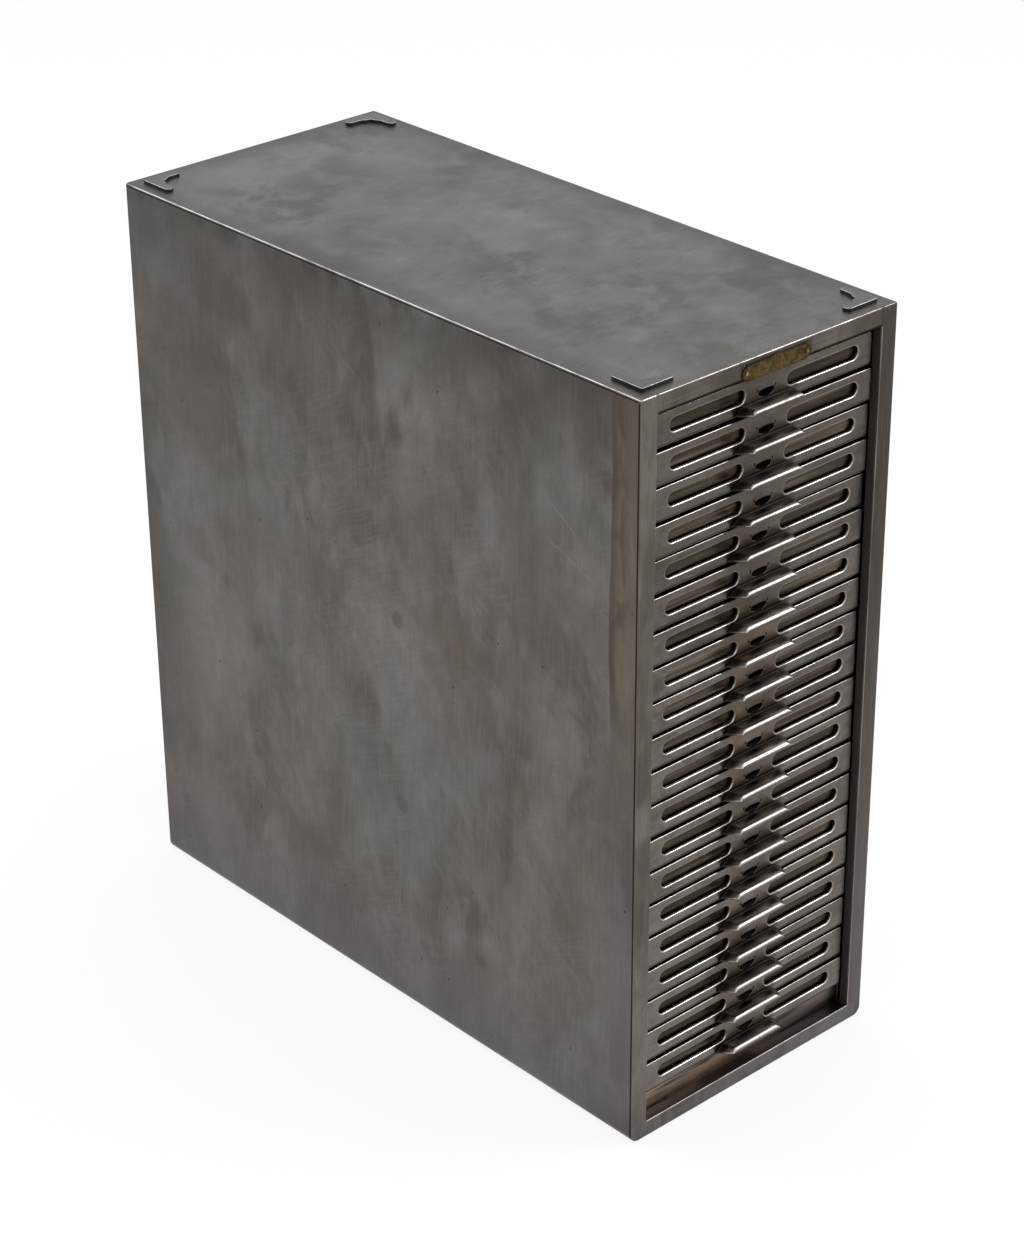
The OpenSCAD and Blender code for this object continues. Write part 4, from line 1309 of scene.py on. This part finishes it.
class CABINET_OT_pins(bpy.types.Operator):
    """Turns one round-headed pin and repeats it at the nameplate's ends"""

    bl_idname = "cabinet.pins"
    bl_label = "Nameplate pins"

    def execute(self, context):
        head = context.scene.cabinet_fittings.pin_r
        low, high = (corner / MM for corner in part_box("nameplate_pins"))
        plate_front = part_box("nameplate")[0].y / MM
        cx, cz = low.x + head, (low.z + high.z) / 2
        shoulder = plate_front - PIN_WALL
        profile = [(PIN_SHANK, high.y), (PIN_SHANK, plate_front), (head, plate_front), (head, shoulder)]
        profile += [(head * math.cos(a), shoulder - (shoulder - low.y) * math.sin(a)) for a in arc(15, 75, 4)]
        turns = arc(0, 360, 20)[:-1]
        sheet = Sheet()
        rows = [[(cx + rr * math.cos(t), y, cz + rr * math.sin(t)) for t in turns] for rr, y in profile]
        sheet.loft(rows, closed=True, flip=True)
        base = len(sheet.points)
        sheet.points.append((cx, low.y, cz))
        last = base - len(turns)
        sheet.faces += [(last + (i + 1) % len(turns), last + i, base)[::-1] for i in range(len(turns))]
        sheet.faces.append(tuple(range(len(turns)))[::-1])
        tree = repeat_tree("pin_pair")
        step = (high.x - low.x - 2 * head) * MM
        obj = repeated(sheet.mesh("pin_one"), "nameplate_pin_pair", tree, 2, (step, 0, 0), finish("pin"))
        face_outwards(obj.data)
        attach(obj, "cabinet")
        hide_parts("nameplate_pins")
        return {"FINISHED"}


# ---------------------------------------------------------------- plates


def flat_plate(outline, rounding, thick, place, lip=None):
    """A plate with a rounded upper edge on any outline; place turns (u, v, height) into a point.

    lip is the width of a raised border and the depth of the field inside it.
    """
    sheet = Sheet()
    rows = [[place(u, v, 0.0) for u, v in outline], [place(u, v, thick - rounding) for u, v in outline]]
    for inset, drop in quarter(rounding, 4)[1:]:
        rows.append([place(u, v, thick - drop) for u, v in grown(outline, -inset)])
    flat = grown(outline, -rounding - 0.1)
    rows.append([place(u, v, thick) for u, v in flat])
    if lip:
        width, depth = lip
        for inset, height in ((width, 0.0), (width + depth, -depth), (width + depth + 0.1, -depth)):
            flat = grown(outline, -rounding - inset)
            rows.append([place(u, v, thick + height) for u, v in flat])
        sheet.fill([flat], lambda u, v: place(u, v, thick - depth))
    else:
        sheet.fill([flat], lambda u, v: place(u, v, thick))
    sheet.loft(rows, closed=True)
    sheet.fill([outline], lambda u, v: place(u, v, 0.0), flip=True)
    return sheet


class CABINET_OT_corner_plates(bpy.types.Operator):
    """Shapes the L-shaped plates near the corners of the top"""

    bl_idname = "cabinet.corner_plates"
    bl_label = "Corner plates"

    def execute(self, context):
        r = context.scene.cabinet_fittings.corner_r
        for end, side in (("front", "left"), ("front", "right"), ("rear", "left"), ("rear", "right")):
            node = f"corner_{end}_{side}"
            low, high = (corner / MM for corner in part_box(node))
            sx, sy = (1 if side == "left" else -1), (1 if end == "front" else -1)
            ox, oy = (low.x if sx > 0 else high.x), (low.y if sy > 0 else high.y)
            arm = high.x - low.x
            # one arm's corners: along it, across it, and the radius
            half = [(arm, 0, 3.6), (arm, 8.0, 3.6), (arm - 12.5, 8.2, 9.0), (15.5, 11.4, 3.0)]
            corners = [(0, 0, 2.0)] + half + [(11.6, 11.6, 2.4)] + [(y, x, rr) for x, y, rr in reversed(half)]

            def place(u, v, h, ox=ox, oy=oy, sx=sx, sy=sy, base=low.z):
                return (ox + sx * u, oy + sy * v, base + h)

            mesh = flat_plate(rounded_polygon(corners), r, high.z - low.z, place).mesh(node + "_plate")
            face_outwards(mesh)
            obj = piece(node + "_plate", mesh, finish("corner"))
            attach(obj, "cabinet")
            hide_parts(node)
        return {"FINISHED"}


class CABINET_OT_nameplate(bpy.types.Operator):
    """Stamps the bare nameplate, with a thin raised border"""

    bl_idname = "cabinet.nameplate"
    bl_label = "Nameplate"

    def execute(self, context):
        r = context.scene.cabinet_fittings.plate_r
        low, high = (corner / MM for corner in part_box("nameplate"))
        cx = (low.x + high.x) / 2
        height = high.z - low.z - CREST_RISE
        body = (high.x - low.x) / 2 - LUG
        # right half, counter-clockwise: a round lug, then the upper edge with a low crest over its middle
        right = [(body, 0)]
        right += [(body + LUG * math.cos(a), height / 2 + LUG * math.sin(a)) for a in arc(-90, 90, 10)]
        right += [(body, height), (CREST_HALF + 0.7, height), (CREST_HALF, height + 0.1)]
        right += [(x, height + CREST_RISE * (1 - (x / CREST_HALF) ** 2) ** 0.8) for x in (5, 3.4, 1.7, 0)]
        outline = right + [(-x, z) for x, z in reversed(right[:-1])]

        def place(u, v, h):
            return (cx + u, high.y - h, low.z + v)

        mesh = flat_plate(outline, r, high.y - low.y, place, lip=(0.7, 0.25)).mesh("nameplate_bare")
        face_outwards(mesh)
        obj = piece("nameplate_bare", mesh, finish("brass"))
        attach(obj, "cabinet")
        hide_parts("nameplate")
        return {"FINISHED"}


# ---------------------------------------------------------------- drawer fronts


def catch_outline(sizes, top, steps=10):
    """The hole above the pull: straight sides between two arcs, counter-clockwise."""
    half = sizes.catch_width / 2
    upper = top - sizes.catch_drop
    lower = upper - sizes.catch_side
    points = []
    for side, z, rise in ((-1, lower, sizes.catch_fall), (1, upper, sizes.catch_rise)):
        r = (half * half + rise**2) / (2 * rise)
        sweep = math.degrees(math.asin(half / r))
        for a in arc(90 * side - sweep, 90 * side + sweep, steps):
            points.append((r * math.cos(a), z + side * (rise - r) + r * math.sin(a)))
    # ease the four corners
    eased = []
    n = len(points)
    for i, p in enumerate(points):
        a, b = Vector(points[i - 1]), Vector(points[(i + 1) % n])
        p = Vector(p)
        if (p - a).normalized().dot((b - p).normalized()) < 0.8:
            cut = min(0.9, (p - a).length * 0.45, (b - p).length * 0.45)
            s, e = p + (a - p).normalized() * cut, p + (b - p).normalized() * cut
            eased += [tuple(s), tuple((s + e) / 4 + p / 2), tuple(e)]
        else:
            eased.append(tuple(p))
    return eased


def pull_rows(sizes):
    """Rows of points over the pull, from its root on the face out to the lip's lower edge."""
    fillet = sizes.fillet_r
    roll = sizes.pull_reach - sizes.lip_r
    crest = sizes.lip_height + sizes.lip_r
    # distance out from the face, height of the top, and how far the fillet still flares
    stations = [(a, sizes.root_height, b) for a, b in quarter(fillet, 5)]
    for k in (1, 2, 3, 4, 5):
        s = fillet + (roll - fillet) * k / 5
        rise = (crest - sizes.root_height) * math.sin(s / roll * math.pi / 2)
        stations.append((s, sizes.root_height + rise, 0.0))
    for a in arc(90, 0, 9)[1:]:
        stations.append((roll + sizes.lip_r * math.cos(a), sizes.lip_height + sizes.lip_r * math.sin(a), 0.0))
    rows = []
    for s, z_top, flare in stations:
        share = s / sizes.pull_reach
        z_low = sizes.sheet + (sizes.lip_height - sizes.sheet) * share
        x_low = (sizes.root_bottom + (sizes.pull_lip - sizes.root_bottom) * share) / 2
        x_low += PULL_BELLY * math.sin(math.pi * share)
        if s <= roll:
            x_top = (sizes.root_top + (sizes.pull_top - sizes.root_top) * s / roll) / 2
        else:
            drop = (crest - z_top) / sizes.lip_r
            x_top = (sizes.pull_top + (sizes.pull_lip - sizes.pull_top) * drop) / 2
        low, high = Vector((x_low + flare * 0.5, z_low)), Vector((x_top + flare * 0.5, z_top + flare))
        slant = high - low
        ease = min(1.6, slant.length * 0.4)
        bend = [high - slant.normalized() * ease, high - Vector((ease, 0))] if slant.length > 1e-4 else [high, high]
        side = [low.lerp(bend[0], t) for t in (0.0, 0.3, 0.6, 1.0)]
        for t in (0.25, 0.5, 0.75):
            side.append(bend[0] * (1 - t) ** 2 + high * 2 * t * (1 - t) + bend[1] * t * t)
        side.append(bend[1])
        side += [Vector((bend[1].x * t, z_top + flare)) for t in (0.75, 0.5, 0.25, 0.0)]
        right = [(p.x, -s, p.y) for p in side]
        rows.append(right + [(-x, y, z) for x, y, z in reversed(right[:-1])])
    return rows


def turned_edge(r, depth, wall, steps, ease, rise, run):
    """Section of an edge turned back to a depth, from the face round the cut edge to the back: (inset, depth).

    ease is the bevel of the cut edge; rise and run are the bevel in the fold behind.
    """
    outside = [(r + 0.15, 0.0)] + [(b, a) for a, b in quarter(r, steps)]
    end = [(0, depth - ease), (ease, depth), (wall - ease, depth), (wall, depth - ease)]
    return outside + end + [(wall, wall + rise), (wall + run, wall), (wall + run + 0.2, wall)]


def front_mesh(sizes, height, half):
    """The pressed drawer front, its face at y = 0 and its lower edge at z = 0."""
    sheet, wall = Sheet(), sizes.sheet
    face, back = [], []

    def through(loops, flip=False):
        """Joins closed outlines, each at its own depth, from the face to the back."""
        sheet.loft([[(u, y, v) for u, v in loop] for loop, y in loops], closed=True, flip=flip)
        face.append(loops[0][0])
        back.append(loops[-1][0])

    flange = turned_edge(sizes.edge_r, sizes.flange, wall, 5, 0.25, 0.5, 0.5)
    through([(rounded_box(half, 0, height, CORNER_R, inset), y) for inset, y in flange], flip=True)

    rim = turned_edge(sizes.window_r, sizes.window_depth, wall, 6, 0.2, 0.3, 0.2)
    x, z = sizes.window_inset + sizes.window_length / 2, height - sizes.window_top - sizes.window_height / 2
    for side in (-1, 1):
        through([(obround((side * x, z), sizes.window_length, sizes.window_height, grow), y) for grow, y in rim])

    # the hole above the pull, a relief slit beside each of its ends, and the opening under the pull
    holes = [catch_outline(sizes, height)]
    x, z = sizes.catch_width / 2 + sizes.slit_width, height - sizes.catch_drop + sizes.slit_length / 4
    for side in (-1, 1):
        turn = math.radians(90 - side * SLIT_LEAN)
        holes.append(obround((side * x, z), sizes.slit_length, sizes.slit_width, 0.0, turn, 4))
    low, high, foot = sizes.root_bottom / 2 - 3.2, sizes.root_top / 2 - 1.6, wall * 1.05
    head = sizes.root_height - sizes.fillet_r
    holes.append([(-low, foot), (low, foot), (high, head), (-high, head)])
    cut = [(0.35, 0.0), (0.25, 0.0), (0.07, 0.07), (0.0, 0.25), (0.0, wall)]
    for hole in holes:
        through([(grown(hole, grow), y) for grow, y in cut])
    sheet.fill(face, lambda u, v: (u, 0.0, v))
    sheet.fill(back, lambda u, v: (u, wall, v), flip=True)
    return sheet


class CABINET_OT_drawer_fronts(bpy.types.Operator):
    """Presses one drawer front with its windows, hole and pull, and puts a copy on each drawer"""

    bl_idname = "cabinet.drawer_fronts"
    bl_label = "Drawer fronts"

    def execute(self, context):
        sizes = context.scene.cabinet_fronts
        flat = front_mesh(sizes, FRONT_HEIGHT, FRONT_HIGH.x).mesh("front_flat")
        face_outwards(flat)
        hood = Sheet()
        hood.loft(pull_rows(sizes), flip=True)
        pull = thicken(hood.mesh("pull_skin", 0.01), "pull_one", None, PULL_WALL, PULL_EDGE)
        bm = bmesh.new()
        bm.from_mesh(flat)
        bm.from_mesh(pull.data)
        mesh = bpy.data.meshes.new("drawer_front")
        bm.to_mesh(mesh)
        bm.free()
        mark_bends(mesh)
        for name, axis, sign in (("rise", 2, 1), ("reach", 1, -1)):
            values = mesh.attributes.new(name, "FLOAT", "POINT").data
            for spot, vertex in zip(values, mesh.vertices):
                spot.value = sign * vertex.co[axis] / MM
        bpy.data.objects.remove(pull)
        for drawer in DRAWERS:
            low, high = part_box(drawer + "_front")
            copy = mesh.copy()
            copy.transform(Matrix.Translation((0, high.y - sizes.flange * MM, low.z)))
            obj = piece(drawer + "_pressing", copy, finish("front"), sharp=42.0)
            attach(obj, drawer)
            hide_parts(drawer + "_front")
        return {"FINISHED"}


# ---------------------------------------------------------------- stage


def straight_rays(graph):
    """1 for camera, glossy and transmission rays, 0 for diffuse ones."""
    kinds = ("Is Camera Ray", "Is Glossy Ray", "Is Transmission Ray")
    return graph.most(*(graph.node("ShaderNodeLightPath", kind) for kind in kinds))


def lamp(name, place, target, size, watts):
    """A rectangular lamp at one place that shines on another."""
    light = bpy.data.lights.new(name, "AREA")
    light.shape = "RECTANGLE"
    light.size, light.size_y = size
    light.energy = watts
    obj = bpy.data.objects.new(name, light)
    bpy.context.scene.collection.objects.link(obj)
    obj.location = place
    obj.rotation_euler = (Vector(target) - Vector(place)).to_track_quat("-Z", "Y").to_euler()


class CABINET_OT_stage(bpy.types.Operator):
    """Lays the pale floor, sets the lights and the camera"""

    bl_idname = "cabinet.stage"
    bl_label = "Stage"

    def execute(self, context):
        scene, stage = context.scene, context.scene.cabinet_stage
        mesh = bpy.data.meshes.new("floor")
        corners = ((-1, -1), (1, -1), (1, 1), (-1, 1))
        mesh.from_pydata([(FLOOR_HALF * x, FLOOR_HALF * y, FLOOR_Z) for x, y in corners], [], [(0, 1, 2, 3)])
        floor = bpy.data.objects.new("floor", mesh)
        scene.collection.objects.link(floor)
        material = bpy.data.materials.new("floor_paper")
        material.use_nodes = True
        graph = Graph(material.node_tree)
        shader = graph.tree.nodes["Principled BSDF"]
        for name, value in (("Base Color", (0.93, 0.93, 0.93)), ("Roughness", 0.9), ("Specular IOR Level", 0.0)):
            graph.put(shader.inputs[name], value)
        glow = graph.node("ShaderNodeEmission", 0)
        share = straight_rays(graph) * stage.paper
        paper = graph.node("ShaderNodeMixShader", 0, {0: share, 1: Value(graph, shader.outputs[0]), 2: glow})
        graph.put(graph.tree.nodes["Material Output"].inputs["Surface"], paper)
        mesh.materials.append(material)

        scene.world = bpy.data.worlds.new("studio")
        scene.world.use_nodes = True
        graph = Graph(scene.world.node_tree)
        inputs = {"Value": straight_rays(graph), "To Min": stage.world, "To Max": 1.0}
        back = graph.tree.nodes["Background"]
        graph.put(back.inputs["Strength"], graph.node("ShaderNodeMapRange", "Result", inputs))
        graph.put(back.inputs["Color"], (1, 1, 1))

        lamp("key", (1.55, -1.5, 1.95), (0, -0.2, 0.35), (1.2, 0.7), stage.key)
        lamp("edge", (-1.25, 1.9, 2.0), (0, 0, 0.6), (1.2, 0.9), stage.edge)
        lamp("overhead", (0.1, 0.1, 2.3), (0, 0, 0.6), (1.2, 1.2), stage.top)

        data = bpy.data.cameras.new("camera")
        data.lens = stage.lens
        data.sensor_width = 36.0
        data.clip_start = 0.05
        camera = bpy.data.objects.new("camera", data)
        scene.collection.objects.link(camera)
        roll = Matrix.Rotation(math.radians(CAMERA_ROLL), 3, "Z").to_quaternion()
        camera.rotation_euler = (Vector(CAMERA_FORWARD).to_track_quat("-Z", "Y") @ roll).to_euler()
        camera.location = (Vector(CAMERA_AT) + Vector((-HALF_WIDTH, FACE_Y, 0))) * MM
        scene.camera = camera
        scene.view_settings.view_transform = "Standard"
        return {"FINISHED"}


class CABINET_PT_sidebar(bpy.types.Panel):
    """Lists the cabinet's pieces and sizes."""

    bl_idname = "CABINET_PT_sidebar"
    bl_label = "Card drawer cabinet"
    bl_space_type = "VIEW_3D"
    bl_region_type = "UI"
    bl_category = "Cabinet"

    def draw(self, context):
        for settings in GROUPS:
            group = getattr(context.scene, settings)
            box = self.layout.box()
            box.label(text=group.bl_rna.description)
            for name in group.__annotations__:
                box.prop(group, name)
        for step in STEPS:
            self.layout.operator("cabinet." + step)


GROUPS = {
    "cabinet_case": CaseSizes,
    "cabinet_fronts": FrontSizes,
    "cabinet_fittings": FittingSizes,
    "cabinet_finishes": Finishes,
    "cabinet_stage": StageSettings,
}
STEPS = (
    "stage",
    "case_wrapper",
    "top_panel",
    "lower_rails",
    "carcass",
    "runners",
    "corner_plates",
    "nameplate",
    "pins",
    "drawer_fronts",
)
CLASSES = (
    *GROUPS.values(),
    CABINET_OT_stage,
    CABINET_OT_case_wrapper,
    CABINET_OT_top_panel,
    CABINET_OT_lower_rails,
    CABINET_OT_carcass,
    CABINET_OT_runners,
    CABINET_OT_corner_plates,
    CABINET_OT_nameplate,
    CABINET_OT_pins,
    CABINET_OT_drawer_fronts,
    CABINET_PT_sidebar,
)


def register():
    for cls in CLASSES:
        bpy.utils.register_class(cls)
    for name, group in GROUPS.items():
        setattr(bpy.types.Scene, name, PointerProperty(type=group))


def unregister():
    for name in GROUPS:
        delattr(bpy.types.Scene, name)
    for cls in reversed(CLASSES):
        bpy.utils.unregister_class(cls)


def main():
    """Builds every piece in order."""
    register()
    for step in STEPS:
        getattr(bpy.ops.cabinet, step)()


if __name__ == "__main__":
    main()
